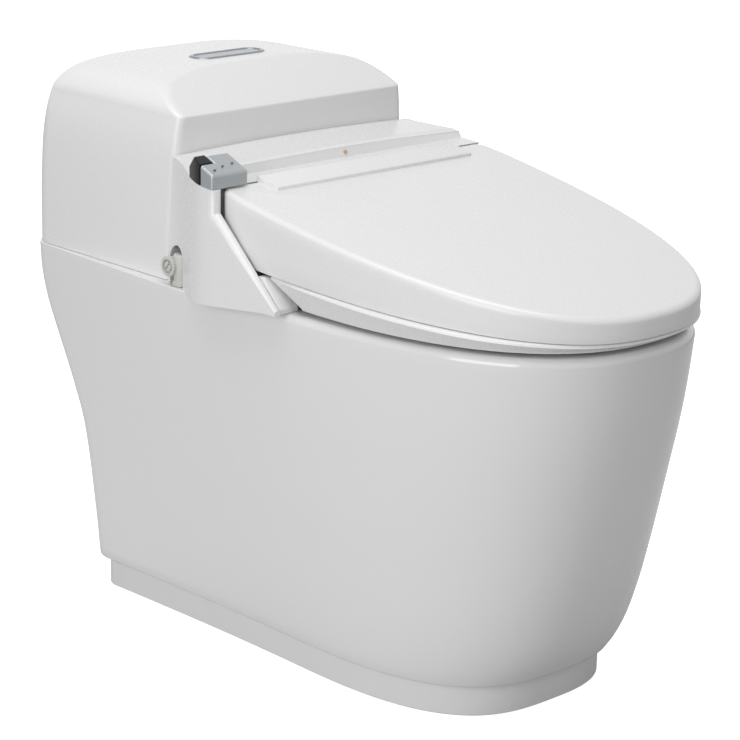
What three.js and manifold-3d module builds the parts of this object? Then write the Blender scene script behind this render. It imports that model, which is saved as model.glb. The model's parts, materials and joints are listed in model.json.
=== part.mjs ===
// Floor-standing smart toilet: a skirted ceramic body, a plastic hood over a cistern at the back,
// a washer unit across the deck, and a seat and a lid on one hinge line.
// Millimetres, +Z up. The floor is z = 0, x = 0 is the middle, the back is y = 0 and the nose
// points to -Y, so the sitter's right hand is at -X.
import * as THREE from 'three';
import { mergeVertices } from 'three/addons/utils/BufferGeometryUtils.js';
import Module from 'manifold-3d';

const wasm = await Module();
wasm.setup();

// sizes
const GAP = 0.3;                 // between pieces that touch
const OVER = 2;                  // how far a cutter runs past what it cuts

// ceramic body
const DECK_Z = 368;              // deck that carries the hood and the washer
const RIM_STEP = 10;
const RIM_Z = DECK_Z + RIM_STEP; // rim under the seat
const BODY_NOSE = 741;           // rim nose, measured from the back
const BODY_HALF = 176;           // half width at the rim
const BODY_BACK_HALF = 161;      // half width under the hood
const BODY_MID = 415;            // where the sides start to curve into the nose
const NOSE_RAKE = 89;            // the skirt leans in this much towards its foot
const BASE_NOSE = BODY_NOSE - NOSE_RAKE;
const SIDE_RAKE = 26;
const BASE_HALF = BODY_HALF - SIDE_RAKE;
const BACK_RAKE = 1;
const BASE_BACK_HALF = BODY_BACK_HALF - BACK_RAKE;
const BASE_BACK = 100;           // back of the skirt at its foot
const BACK_CORNER = 30;
const SHOULDER = 8;              // rounded top edge
const PLINTH_H = 34;
const PLINTH_IN = 11;
const PLINTH_EDGE = 2;           // rounding of the skirt's foot
const WALL = 14;                 // ceramic wall
const RIM_DEPTH = 40;
const RAMP_START = 330;          // the deck climbs to the rim between these two
const RAMP_LONG = 95;
const RAMP_END = RAMP_START + RAMP_LONG;

// bowl and trap
const RIM_SIDE = 55;             // rim width beside the bowl
const RIM_FRONT = 42;
const BOWL_HALF = BODY_HALF - RIM_SIDE;
const BOWL_BACK = 420;
const BOWL_FRONT = BODY_NOSE - RIM_FRONT;
const BOWL_FLOOR = 84;
const TRAP_BORE = 26;
const TRAP_WALL = 10;
const DUCT_WALL = 8;
const TRAP_DIP = 92;
const WEIR_Z = 206;
const OUTLET_Y = 290;            // from the back plane to the drain
const OUTLET_Z = 12;
const SEAL_OUT = 48;
const DUCT_BORE = 22;            // flush water from the cistern to the bowl
const DUCT_Z = 306;

// hood
const HOOD_STEP = 1;
const HOOD_HALF = BODY_BACK_HALF - HOOD_STEP;
const HOOD_DEPTH = 241;
const VISOR_OUT = 10;
const VISOR_Z = 535;
const HOOD_TOP = 570;
const HOOD_FACET = 65;           // depth of the sloping front top
const HOOD_CORNER = 9;           // front corners in plan
const HOOD_WALL = 3.5;

// flush button and its works
const BUTTON_Y = 142;
const BEZEL_LONG = 94;
const BEZEL_WIDE = 32;
const BEZEL_BAND = 5;
const BEZEL_DEPTH = 12;
const BEZEL_PROUD = 1.4;
const BUTTON_THICK = 4;
const BUTTON_SINK = 0.8;
const STEM_R = 5;
const STEM_TIP_R = 1.5;
const LEVER_Y = 118;             // rocker pivot
const LEVER_BACK = 38;           // pivot to valve
const LEVER_THICK = 6;
const LEVER_WIDE = 14;
const COLLAR_PLAY = 1.2;         // the rocker's fork tilts as it lifts the collar
const LEVER_UP = 1;
const LEVER_Z = VISOR_Z + LEVER_UP;
const PIVOT_R = 2.5;

// cistern
const CISTERN_ROOM = 20;
const CISTERN_CLEAR = 19;        // to the front of the hood
const CISTERN_HALF = HOOD_HALF - CISTERN_ROOM;
const CISTERN_FRONT = HOOD_DEPTH - CISTERN_CLEAR;
const CISTERN_BACK = 18;
const CISTERN_H = 148;
const CISTERN_WALL = 3.5;
const CISTERN_ROUND = 22;
const VALVE_R = 24;              // flush valve throat
const VALVE_SEAT_R = 34;
const VALVE_SEAT_H = 12;
const CAN_R = 21;
const CAN_WALL = 2.5;
const CAN_H = 104;
const SEAL_H = 4;
const CAGE_RING = 6;
const FILL_X = 92;
const FILL_Y = 120;
const FILL_R = 12;
const FILL_H = 126;
const FILL_SHANK_R = 7;
const FLOAT_R = 27;
const FLOAT_H = 42;
const FLOAT_REST = 18;           // float above the cistern floor when empty

// hinge line and widths that the washer, the seat and the lid share
const HINGE_Y = 390;
const HINGE_UP = 78;             // hinge line above the rim
const HINGE_Z = RIM_Z + HINGE_UP;
const LID_OUT = 5;               // lid beyond the rim on each side
const LID_TAPER = 2;
const LID_HALF = BODY_HALF + LID_OUT;
const LID_BACK_HALF = LID_HALF - LID_TAPER;

// washer unit
const WASHER_SEAM = 0.8;         // between the hood's front and the casing
const EDGE_UP = 39;              // front top edge above the hinge line
const EDGE_BACK = 85;            // and behind it
const TOP_RISE = 6;
const FACE_DEEP = 6;             // the front face leans forward this much
const FACE_HIGH = 11.5;
const WASHER_EDGE_Y = HINGE_Y - EDGE_BACK;
const WASHER_EDGE_Z = HINGE_Z + EDGE_UP;
const WASHER_TOP = WASHER_EDGE_Z + TOP_RISE;
const EDGE_ROUND = 2;
const FACE_FOOT_Y = WASHER_EDGE_Y + FACE_DEEP;
const FACE_FOOT_Z = WASHER_EDGE_Z - FACE_HIGH;
const WASHER_ARCH = 4.5;         // the top edge is this much lower at the ends
const CHEEK_PLAY = 3;            // between lid and cheek
const CHEEK_WIDE = 11;
const CHEEK_IN = LID_HALF + CHEEK_PLAY;
const WASHER_HALF = CHEEK_IN + CHEEK_WIDE;
const CHEEK_FRONT = 355;
const FLARE_BACK = 10;
const WASHER_FLARE_Y = CHEEK_FRONT - FLARE_BACK;
const WASHER_WALL = 3;
const CHEEK_FALL = 9;
const CHEEK_DROP = 10;
const CHEEK_TOP = WASHER_EDGE_Z - CHEEK_FALL;
const CHEEK_LOW_TOP = CHEEK_TOP - CHEEK_DROP; // the cheek without the panel stays lower
const BREAK_UP = 6;
const TIP_REACH = 17;            // cheek tip beyond the ramp
const CHEEK_BREAK_Z = HINGE_Z + BREAK_UP;
const CHEEK_TIP_Y = RAMP_END + TIP_REACH;
const CHEEK_TIP_H = 5;
const BASE_T = 5;
const BLOCK_SIDE = 40;
const BLOCK_REACH = 22;          // block in front of the hinge line
const BLOCK_H = 34;
const BLOCK_HALF = LID_BACK_HALF - BLOCK_SIDE;
const BLOCK_FRONT = HINGE_Y + BLOCK_REACH;
const BLOCK_BACK_Z = DECK_Z + BLOCK_H; // low, because the lid's tail turns over it
const RECESS_REACH = 20;
const RECESS_H = 41;
const RECESS_Y = HOOD_DEPTH + RECESS_REACH; // arch round the inlet valve
const RECESS_HALF = 16;
const RECESS_TOP = DECK_Z + RECESS_H;

// hinge line shared by seat and lid
const PIN_R = 5;
const LUG_R = 11;
const CORE_R = 11;
const PIN_REACH = 12;            // how far a pin reaches into the hinge bar
const TAIL_ROOM = 59;            // room the tail of the lid turns in
const FRONT_WALL_Y = HINGE_Y - TAIL_ROOM;
const LIP_TURN = 26;             // the casing's lip, in degrees above the hinge line
const NECK_TURN = -102;          // back of the neck that carries the hinge core
const ARM_PLAY = 7;
const SEAT_ARM_IN = BLOCK_HALF + ARM_PLAY;
const ARM_THICK = 11;
const ARM_FOOT = 12;             // how far an arm reaches over the seat
const ARM_TOE = 14;
const LUG_PLAY = 3;
const LID_LUG_IN = SEAT_ARM_IN + ARM_THICK + LUG_PLAY;

// covers at the washer's ends, under the lid's tail
const END_IN = LID_LUG_IN;
const END_SHORT = 1.5;           // behind the cheek tips
const END_SLOPE = 26.5;
const END_H = 30;
const END_REACH = 18;            // behind the hinge line
const END_BACK_H = 29.5;
const END_FRONT = CHEEK_TIP_Y - END_SHORT;
const END_TOP_Y = END_FRONT - END_SLOPE;
const END_TOP_Z = RIM_Z + END_H;
const END_BACK_Y = HINGE_Y - END_REACH;
const END_BACK_Z = DECK_Z + END_BACK_H;

// control panel
const PANEL_WIDE = 46;
const PANEL_SET = 2;             // behind the cheek's front
const PANEL_DEEP = 31;
const STEP_DEEP = 19;
const SENSOR_WIDE = 28;
const SENSOR_DEEP = 36;
const SENSOR_PROUD = 2;
const PANEL_PLAY = 1.5;
const PANEL_H = 11.5;
const PANEL_RISE = 13;
const PANEL_IN = WASHER_HALF - PANEL_WIDE;
const PANEL_FRONT = CHEEK_FRONT - PANEL_SET;
const PANEL_BACK = PANEL_FRONT - PANEL_DEEP;
const PANEL_STEP = PANEL_FRONT - STEP_DEEP;
const SENSOR_IN = WASHER_HALF - SENSOR_WIDE;
const SENSOR_BACK = PANEL_STEP - SENSOR_DEEP;
const PANEL_LOW = CHEEK_TOP + PANEL_PLAY;
const PANEL_FRONT_Z = PANEL_LOW + PANEL_H;
const PANEL_BACK_Z = PANEL_FRONT_Z + PANEL_RISE;
const PANEL_ROUND = 3;
const LAMP_R = 1.3;
const LAMP_H = 0.8;
const NIGHT_X = 18;              // the amber lamp sits a little to the left of the middle

// wash nozzles
const NOZZLE_R = 6;
const NOZZLE_X = 12;
const NOZZLE_LEN = 118;
const NOZZLE_TILT = THREE.MathUtils.degToRad(10);
const NOZZLE_UP = 10.5;
const NOZZLE_Z = RIM_Z + NOZZLE_UP; // where the axis leaves the front block
const BAY_HALF = 24;
const BAY_HIGH = 8;
const PLATE_IN = 3;
const PLATE_HALF = BLOCK_HALF - PLATE_IN;

// seat and lid
const LID_OVER = 6;              // lid beyond the rim at the nose
const LID_MID_BACK = 26;
const TAIL_REACH = 46;           // lid behind the hinge line
const LID_NOSE = BODY_NOSE + LID_OVER;
const LID_MID = BODY_MID - LID_MID_BACK;
const LID_TAIL = HINGE_Y - TAIL_REACH;
const SEAM_UP = 14;
const SEAM_Z = RIM_Z + SEAM_UP;  // seam between lid and seat at the nose
const SEAM_RISE = 0.063;         // it climbs towards the back
const CREST_H = 22;              // lid side at the nose
const CREST_RISE = 0.175;
const CREST_IN = 6.5;
const CREST_FALL = 5;
const LID_CORNER = 14;
const LID_WALL = 3;
const LID_CROWN = 5;
const NOTCH_UP = 2;
const NOTCH_BACK = 1;
const NOTCH_DEEP = 41;
const LID_NOTCH_Z = HINGE_Z + NOTCH_UP; // slanted lower tail of the lid
const LID_NOTCH_Y = HINGE_Y - NOTCH_BACK;
const LID_NOTCH_LOW = HINGE_Z - NOTCH_DEEP;
const HEM_REACH = 28;
const HEM_FALL = 3;
const LID_HEM_Y = HINGE_Y + HEM_REACH;
const STRIP_SIDE = 47;
const STRIP_SET = 2;
const STRIP_DEEP = 31;
const STRIP_HALF = LID_BACK_HALF - STRIP_SIDE;
const STRIP_BACK = LID_TAIL + STRIP_SET;
const STRIP_FRONT = STRIP_BACK + STRIP_DEEP;
const STRIP_H = 2.2;             // at its front edge
const STRIP_BACK_H = 3.5;
const SEAT_LIFT = 4;             // rubber feet under the seat
const SEAT_TUCK_SIDE = 12.5;     // the seat narrows towards its foot
const SEAT_TUCK = 11;
const SEAT_TAIL_SLOPE = 32;
const SEAT_ROUND = 2;
const SEAT_HIP = 80;             // start of the nose curve, beyond the lid's
const SEAT_LOW_HIP = 90;
const SEAT_CORNER = 5;
const SEAT_LOW_HALF = LID_HALF - SEAT_TUCK_SIDE;
const SEAT_LOW_NOSE = LID_NOSE - SEAT_TUCK;
const SEAT_TAIL = LID_HEM_Y;
const SEAT_TAIL_LOW = SEAT_TAIL + SEAT_TAIL_SLOPE;
const SEAM_GAP = 0.6;
const HOLE_SIDE = 17;
const HOLE_SET = 36;
const HOLE_LIP = 7;
const HOLE_HALF = BOWL_HALF - HOLE_SIDE; // seat opening
const HOLE_BACK = BOWL_BACK + HOLE_SET;
const HOLE_FRONT = BOWL_FRONT - HOLE_LIP;
const HOLE_FLARE = 9;
const FOOT_R = 9;
const FOOT_OUT = 28;
const FOOT_REACH = 64;
const FOOT_IN = 8;
const FOOT_SHORT = 24;
const FOOT_X = HOLE_HALF + FOOT_OUT;
const FOOT_Y = HOLE_BACK + FOOT_REACH;
const FOOT_FRONT_X = HOLE_HALF - FOOT_IN;
const FOOT_FRONT_Y = HOLE_FRONT - FOOT_SHORT;

// inlet valve at the deck
const VALVE_OUT = 5;
const PLUG_REACH = 15;
const PLUG_UP = 20;
const DROP_BACK = 9;
const VALVE_X = BODY_BACK_HALF + VALVE_OUT;
const PLUG_Y = HOOD_DEPTH + PLUG_REACH;
const PLUG_Z = DECK_Z + PLUG_UP;
const PLUG_R = 10.5;
const PLUG_T = 4;
const PLUG_SLOT = 2;
const BARREL_R = 9.5;
const BARREL_LEN = 24;
const DROP_Y = PLUG_Y + DROP_BACK;
const DROP_R = 8;
const NUT_R = 10;
const NUT_H = 5;

// helpers
const V3 = THREE.Vector3;
const BOW_STEPS = 10;

// A closed geometry as a solid: only positions, shared vertices merged.
function solid(geometry) {
  let g = geometry.clone();
  g.deleteAttribute('normal');
  g.deleteAttribute('uv');
  g = mergeVertices(g, 1e-4);
  const index = g.index.array;
  const keep = [];
  for (let i = 0; i < index.length; i += 3) {
    const [a, b, c] = [index[i], index[i + 1], index[i + 2]];
    if (a !== b && b !== c && a !== c) keep.push(a, b, c);
  }
  return new wasm.Manifold(new wasm.Mesh({
    numProp: 3,
    vertProperties: new Float32Array(g.attributes.position.array),
    triVerts: new Uint32Array(keep),
  }));
}

function geometryOf(body) {
  const m = body.getMesh();
  const g = new THREE.BufferGeometry();
  g.setAttribute('position', new THREE.BufferAttribute(Float32Array.from(m.vertProperties), 3));
  g.setIndex(new THREE.BufferAttribute(Uint32Array.from(m.triVerts), 1));
  g.computeVertexNormals();
  return g;
}

const joined = (...bodies) => bodies.reduce((a, b) => a.add(b));
const cut = (body, ...tools) => tools.reduce((a, b) => a.subtract(b), body);

function placed(geometry, x, y, z) {
  return solid(geometry.clone().translate(x, y, z));
}

// Box between two corners.
function box(x0, x1, y0, y1, z0, z1) {
  const g = new THREE.BoxGeometry(x1 - x0, y1 - y0, z1 - z0);
  return placed(g, (x0 + x1) / 2, (y0 + y1) / 2, (z0 + z1) / 2);
}

// Upright prism over a plan outline of [x, y] points.
function prismZ(points, z0, z1) {
  const shape = new THREE.Shape(points.map(([x, y]) => new THREE.Vector2(x, y)));
  return placed(new THREE.ExtrudeGeometry(shape, { depth: z1 - z0, bevelEnabled: false }), 0, 0, z0);
}

// Prism along X over a side outline of [y, z] points. With a bow, it is cut into steps and each
// point is lowered by what the bow gives for it.
function prismX(points, x0, x1, bow) {
  const shape = new THREE.Shape(points.map(([y, z]) => new THREE.Vector2(y, z)));
  const g = new THREE.ExtrudeGeometry(shape, { depth: x1 - x0, steps: bow ? BOW_STEPS : 1, bevelEnabled: false });
  g.rotateY(Math.PI / 2).rotateX(Math.PI / 2).translate(x0, 0, 0);
  const at = g.attributes.position;
  if (bow) for (let i = 0; i < at.count; i++) at.setZ(i, at.getZ(i) - bow(at.getX(i), at.getZ(i)));
  return solid(g);
}

// Prism along Y over a front outline of [x, z] points.
function prismY(points, y0, y1) {
  const shape = new THREE.Shape(points.map(([x, z]) => new THREE.Vector2(x, z)));
  const g = new THREE.ExtrudeGeometry(shape, { depth: y1 - y0, bevelEnabled: false });
  g.rotateX(Math.PI / 2);
  return placed(g, 0, y1, 0);
}

// Upright turned piece from an [r, z] profile.
function turned(points, x, y, z, sides = 24) {
  const profile = points.map(([r, h]) => new THREE.Vector2(r, h));
  return placed(new THREE.LatheGeometry(profile, sides).rotateX(Math.PI / 2), x, y, z);
}

const rod = (r, z0, z1, x, y, sides = 20) => turned([[0, z0], [r, z0], [r, z1], [0, z1]], x, y, 0, sides);
const tube = (ri, ro, z0, z1, x, y, sides = 24) =>
  turned([[ri, z0], [ro, z0], [ro, z1], [ri, z1], [ri, z0]], x, y, 0, sides);

// Rod along X.
function rodX(r, x0, x1, y, z, sides = 20) {
  const g = new THREE.CylinderGeometry(r, r, x1 - x0, sides).rotateZ(Math.PI / 2);
  return placed(g, (x0 + x1) / 2, y, z);
}

// Round rod between two points.
function rodBetween(r, a, b, sides = 16) {
  const way = new V3().subVectors(b, a);
  const g = new THREE.CylinderGeometry(r, r, way.length(), sides);
  g.applyQuaternion(new THREE.Quaternion().setFromUnitVectors(new V3(0, 1, 0), way.clone().normalize()));
  const mid = new V3().addVectors(a, b).multiplyScalar(0.5);
  return placed(g, mid.x, mid.y, mid.z);
}

// Round bar swept along a curve through points in the middle plane.
function swept(r, points, steps, sides = 12) {
  const shape = new THREE.Shape();
  for (let i = 0; i < sides; i++) {
    const a = (i / sides) * Math.PI * 2;
    shape[i ? 'lineTo' : 'moveTo'](r * Math.cos(a), r * Math.sin(a));
  }
  shape.closePath();
  const path = new THREE.CatmullRomCurve3(points.map(([y, z]) => new V3(0, y, z)), false, 'centripetal');
  return solid(new THREE.ExtrudeGeometry(shape, { steps, extrudePath: path, bevelEnabled: false }));
}

// Skin through rings of equal point count, closed by flat caps.
function loft(rings) {
  const n = rings[0].length;
  const position = rings.flat().flatMap((p) => [p.x, p.y, p.z]);
  const index = [];
  for (let k = 0; k + 1 < rings.length; k++) {
    for (let i = 0; i < n; i++) {
      const j = (i + 1) % n;
      const [a, b, c, d] = [k * n + i, k * n + j, (k + 1) * n + j, (k + 1) * n + i];
      index.push(a, b, c, a, c, d);
    }
  }
  const cap = (ring, base, up) => {
    const flat = ring.map((p) => new THREE.Vector2(p.x, p.y));
    for (const [a, b, c] of THREE.ShapeUtils.triangulateShape(flat, [])) {
      index.push(base + a, base + (up ? b : c), base + (up ? c : b));
    }
  };
  cap(rings[0], 0, false);
  cap(rings[rings.length - 1], (rings.length - 1) * n, true);
  const g = new THREE.BufferGeometry();
  g.setAttribute('position', new THREE.Float32BufferAttribute(position, 3));
  g.setIndex(index);
  return solid(g);
}

// Plan outline seen from above, counter-clockwise: straight back with round corners, sides that ease
// from the back half width to the full one, and a rounded nose. Distances run from the back plane.
const NOSE_POINTS = 22;
const SIDE_POINTS = 4;
const CORNER_POINTS = 4;
function outline({ back, mid, nose, half, backHalf, corner, full = 2.6 }) {
  const right = [];
  for (let i = 0; i <= CORNER_POINTS; i++) {
    const a = (i / CORNER_POINTS) * (Math.PI / 2);
    right.push([backHalf - corner + corner * Math.sin(a), -back - corner + corner * Math.cos(a)]);
  }
  for (let i = 1; i < SIDE_POINTS; i++) {
    const s = i / SIDE_POINTS;
    right.push([backHalf + (half - backHalf) * Math.sin((s * Math.PI) / 2),
      -back - corner - (mid - back - corner) * s]);
  }
  const m = NOSE_POINTS / 2;
  for (let i = 0; i <= m; i++) {
    const a = (i / m) * (Math.PI / 2);
    right.push([half * Math.cos(a) ** (2 / full), -mid - (nose - mid) * Math.sin(a) ** (2 / full)]);
  }
  right[right.length - 1][0] = 0;
  const left = right.slice(0, -1).reverse().map(([x, y]) => [-x, y]);
  // from the right back corner round the nose is clockwise, so the order is turned over
  return [...right, ...left].reverse().map(([x, y]) => new THREE.Vector2(x, y));
}

// The same outline drawn in by a distance along its normals.
function drawnIn(points, d) {
  const n = points.length;
  return points.map((p, i) => {
    const a = points[(i + n - 1) % n];
    const b = points[(i + 1) % n];
    const t = new THREE.Vector2().subVectors(b, a).normalize();
    return new THREE.Vector2(p.x - t.y * d, p.y + t.x * d);
  });
}

const ringAt = (points, height) =>
  points.map((p) => new V3(p.x, p.y, typeof height === 'function' ? height(p) : height));

const mix = (a, b, t) => a + (b - a) * t;

// Arc points round [cx, cy] from angle a0 to a1 in degrees.
function arc(cx, cy, r, a0, a1, n) {
  return Array.from({ length: n + 1 }, (_, i) => {
    const a = THREE.MathUtils.degToRad(mix(a0, a1, i / n));
    return [cx + r * Math.cos(a), cy + r * Math.sin(a)];
  });
}

// Rounded rectangle in plan, centred.
function roundRect(cx, cy, long, wide, r, n = 6) {
  const [a, b] = [long / 2 - r, wide / 2 - r];
  return [
    ...arc(cx + a, cy + b, r, 0, 90, n), ...arc(cx - a, cy + b, r, 90, 180, n),
    ...arc(cx - a, cy - b, r, 180, 270, n), ...arc(cx + a, cy - b, r, 270, 360, n),
  ];
}

const root = new THREE.Group();
const seatGroup = new THREE.Group();
const lidGroup = new THREE.Group();
root.add(seatGroup);
seatGroup.add(lidGroup);

const LOOKS = {
  ceramic: ['#ececec', 0.12, 0], plastic: ['#eeeeee', 0.25, 0], inner: ['#d9dadb', 0.5, 0],
  clear: ['#cfd3d6', 0.4, 0], chrome: ['#8b8f93', 0.15, 1], silver: ['#c9cdd0', 0.3, 0.7],
  black: ['#141516', 0.15, 0], rubber: ['#3a3b3c', 0.8, 0], grey: ['#bfc0bd', 0.45, 0],
  amber: ['#d6a24a', 0.3, 0], green: ['#2e4034', 0.6, 0], steel: ['#9a9da0', 0.35, 0.9],
  dark: ['#4a4d50', 0.5, 0], lamp: ['#7f8a90', 0.3, 0],
};

function piece(name, body, look, group = root) {
  const [color, roughness, metalness] = LOOKS[look];
  const mesh = new THREE.Mesh(geometryOf(body), new THREE.MeshStandardMaterial({ color, roughness, metalness }));
  mesh.name = name;
  group.add(mesh);
}

// ceramic body
// Levels of the skirt: height, and shares of the way from foot to rim for nose, half width and back.
const SKIRT_SHARES = [
  [0, 0, 0, 0], [0.02, 0.06, 0.05, 0.01], [0.09, 0.22, 0.18, 0.04], [0.2, 0.38, 0.34, 0.1],
  [0.33, 0.52, 0.48, 0.18], [0.44, 0.62, 0.6, 0.28], [0.53, 0.7, 0.68, 0.42], [0.62, 0.78, 0.76, 0.58],
  [0.7, 0.85, 0.83, 0.73], [0.78, 0.91, 0.89, 0.87], [0.87, 0.96, 0.95, 0.97], [0.96, 1, 1, 1],
];
function skirtOutline(noseShare, halfShare, backShare) {
  return outline({
    back: mix(BASE_BACK, 0, backShare), mid: BODY_MID, nose: mix(BASE_NOSE, BODY_NOSE, noseShare),
    half: mix(BASE_HALF, BODY_HALF, halfShare), backHalf: mix(BASE_BACK_HALF, BODY_BACK_HALF, halfShare),
    corner: BACK_CORNER, full: mix(2.9, 2.5, noseShare),
  });
}
const topOutline = skirtOutline(1, 1, 1);
function skirtBody() {
  const rings = [];
  const foot = skirtOutline(0, 0, 0);
  rings.push(ringAt(drawnIn(foot, PLINTH_IN), 0));
  rings.push(ringAt(drawnIn(foot, PLINTH_IN), PLINTH_H));
  rings.push(ringAt(drawnIn(foot, PLINTH_EDGE), PLINTH_H));
  for (const [heightShare, noseShare, halfShare, backShare] of SKIRT_SHARES) {
    rings.push(ringAt(skirtOutline(noseShare, halfShare, backShare),
      mix(PLINTH_H + PLINTH_EDGE, RIM_Z - SHOULDER, heightShare / SKIRT_SHARES[SKIRT_SHARES.length - 1][0])));
  }
  for (const turn of [30, 60, 90]) {
    const a = THREE.MathUtils.degToRad(turn);
    rings.push(ringAt(drawnIn(topOutline, SHOULDER * (1 - Math.cos(a))), RIM_Z - SHOULDER + SHOULDER * Math.sin(a)));
  }
  return loft(rings);
}
function hollowUnder() {
  const foot = skirtOutline(0, 0, 0);
  const rings = [ringAt(drawnIn(foot, PLINTH_IN + WALL), -OVER), ringAt(drawnIn(foot, PLINTH_IN + WALL), PLINTH_H)];
  for (const [heightShare, noseShare, halfShare, backShare] of SKIRT_SHARES.slice(2)) {
    rings.push(ringAt(drawnIn(skirtOutline(noseShare, halfShare, backShare), WALL),
      mix(PLINTH_H, RIM_Z - RIM_DEPTH, heightShare / SKIRT_SHARES[SKIRT_SHARES.length - 1][0])));
  }
  return loft(rings);
}
// Bowl levels: shares of depth, then of half width, back and front.
const BOWL_SHARES = [
  [0, 1, 0, 1], [0.1, 0.985, 0.01, 0.985], [0.24, 0.93, 0.02, 0.95], [0.4, 0.8, 0.05, 0.86],
  [0.56, 0.62, 0.09, 0.73], [0.7, 0.46, 0.13, 0.6], [0.84, 0.34, 0.14, 0.46], [0.94, 0.26, 0.15, 0.37],
  [1, 0.16, 0.18, 0.3],
];
function bowlRing(halfShare, backShare, frontShare, grow) {
  const long = BOWL_FRONT - BOWL_BACK;
  const [y0, y1] = [BOWL_BACK + long * backShare - grow, BOWL_BACK + long * frontShare + grow];
  const half = BOWL_HALF * halfShare + grow;
  const points = [];
  const count = 28;
  for (let i = 0; i < count; i++) {
    const a = (i / count) * Math.PI * 2;
    const nose = Math.sin(a) < 0;
    const middle = mix(y0, y1, 0.44);
    const reach = nose ? y1 - middle : middle - y0;
    const lean = (v, p) => Math.sign(v) * Math.abs(v) ** p;
    points.push(new THREE.Vector2(half * lean(Math.cos(a), nose ? 1 : 0.85), -middle + reach * lean(Math.sin(a), 0.9)));
  }
  return points;
}
function bowlShape(grow, over) {
  const rings = BOWL_SHARES.map(([depthShare, halfShare, backShare, frontShare]) =>
    ringAt(bowlRing(halfShare, backShare, frontShare, grow), mix(RIM_Z, BOWL_FLOOR - grow, depthShare)));
  if (over) rings.unshift(ringAt(bowlRing(1, 0, 1, grow), RIM_Z + over));
  return loft(rings.reverse());
}
const SUMP_Y = BOWL_BACK + (BOWL_FRONT - BOWL_BACK) * 0.24;
const ASCENT_Y = OUTLET_Y + 3.2 * TRAP_BORE;
const LEG_TOP = mix(TRAP_DIP, WEIR_Z, 0.2);
const SLAB_LOW = RIM_Z - RIM_DEPTH;
const BOWL_SKIN = WALL * 0.8;
const trapWay = [
  [-SUMP_Y, BOWL_FLOOR + TRAP_BORE * 0.8], [-mix(SUMP_Y, ASCENT_Y, 0.6), TRAP_DIP],
  [-ASCENT_Y - TRAP_BORE * 0.5, TRAP_DIP + TRAP_BORE * 0.6], [-ASCENT_Y + TRAP_BORE * 0.3, mix(TRAP_DIP, WEIR_Z, 0.62)],
  [-mix(ASCENT_Y, OUTLET_Y, 0.55), WEIR_Z], [-OUTLET_Y, mix(TRAP_DIP, WEIR_Z, 0.74)], [-OUTLET_Y, LEG_TOP], [-OUTLET_Y, -OVER],
];
const DUCT_Y = LEVER_Y - LEVER_BACK;
// Elbow from the deck to the back of the bowl.
const ductPipe = (r, top, front) => joined(
  rod(r, DUCT_Z - r, top, 0, -DUCT_Y, 32),
  rodBetween(r, new V3(0, -DUCT_Y, DUCT_Z), new V3(0, -front, DUCT_Z), 32));
// The ceramic is cast as five pieces that are stuck together before firing: the skirt with deck and
// rim, the bowl, the trap, its leg down to the drain and the duct from the cistern.
function ceramic() {
  const deckCut = prismX([
    [OVER, DECK_Z], [-RAMP_START, DECK_Z], [-RAMP_END, RIM_Z], [-RAMP_END, RIM_Z + OVER], [OVER, RIM_Z + OVER],
  ], -BODY_HALF - OVER, BODY_HALF + OVER);
  const trapOuter = TRAP_BORE + TRAP_WALL;
  const trapBore = swept(TRAP_BORE, trapWay, 20);
  const ductBore = ductPipe(DUCT_BORE, DECK_Z, BOWL_BACK + WALL);
  piece('bowl_body', cut(skirtBody(), hollowUnder(), deckCut, bowlShape(BOWL_SKIN + GAP, OVER), ductBore,
    rod(DUCT_BORE + 2 * GAP, DECK_Z - WALL - OVER, DECK_Z + OVER, 0, -DUCT_Y, 32),
    rod(FILL_SHANK_R + 2 * GAP, SLAB_LOW - OVER, DECK_Z + OVER, -FILL_X, -FILL_Y)), 'ceramic');
  piece('bowl_shell', cut(bowlShape(BOWL_SKIN, 0), bowlShape(0, OVER), deckCut, trapBore, ductBore), 'ceramic');
  piece('trapway', cut(swept(trapOuter, trapWay, 20), trapBore, bowlShape(BOWL_SKIN + GAP, 0),
    box(-trapOuter - OVER, trapOuter + OVER, -OUTLET_Y - trapOuter - OVER, -OUTLET_Y + trapOuter + OVER, -2 * OVER, LEG_TOP)),
  'ceramic');
  piece('drain_leg', tube(TRAP_BORE, trapOuter, OUTLET_Z, LEG_TOP - GAP, 0, -OUTLET_Y), 'ceramic');
  piece('flush_duct', cut(ductPipe(DUCT_BORE + DUCT_WALL, SLAB_LOW - GAP, BOWL_BACK + WALL), ductBore,
    bowlShape(BOWL_SKIN + GAP, 0)), 'ceramic');
}
ceramic();
piece('drain_seal', tube(TRAP_BORE + GAP, SEAL_OUT, 0, OUTLET_Z - GAP, 0, -OUTLET_Y), 'rubber');

// hood
// Levels up to the visor: height, half width, back edge and back corner, as shares.
const HOOD_WALL_SHARES = [
  [0, 1, 0, 0.21], [0.49, 0.994, 0.002, 0.215], [0.79, 0.978, 0.012, 0.225], [0.92, 0.963, 0.023, 0.24],
  [1, 0.95, 0.037, 0.25],
];
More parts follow.
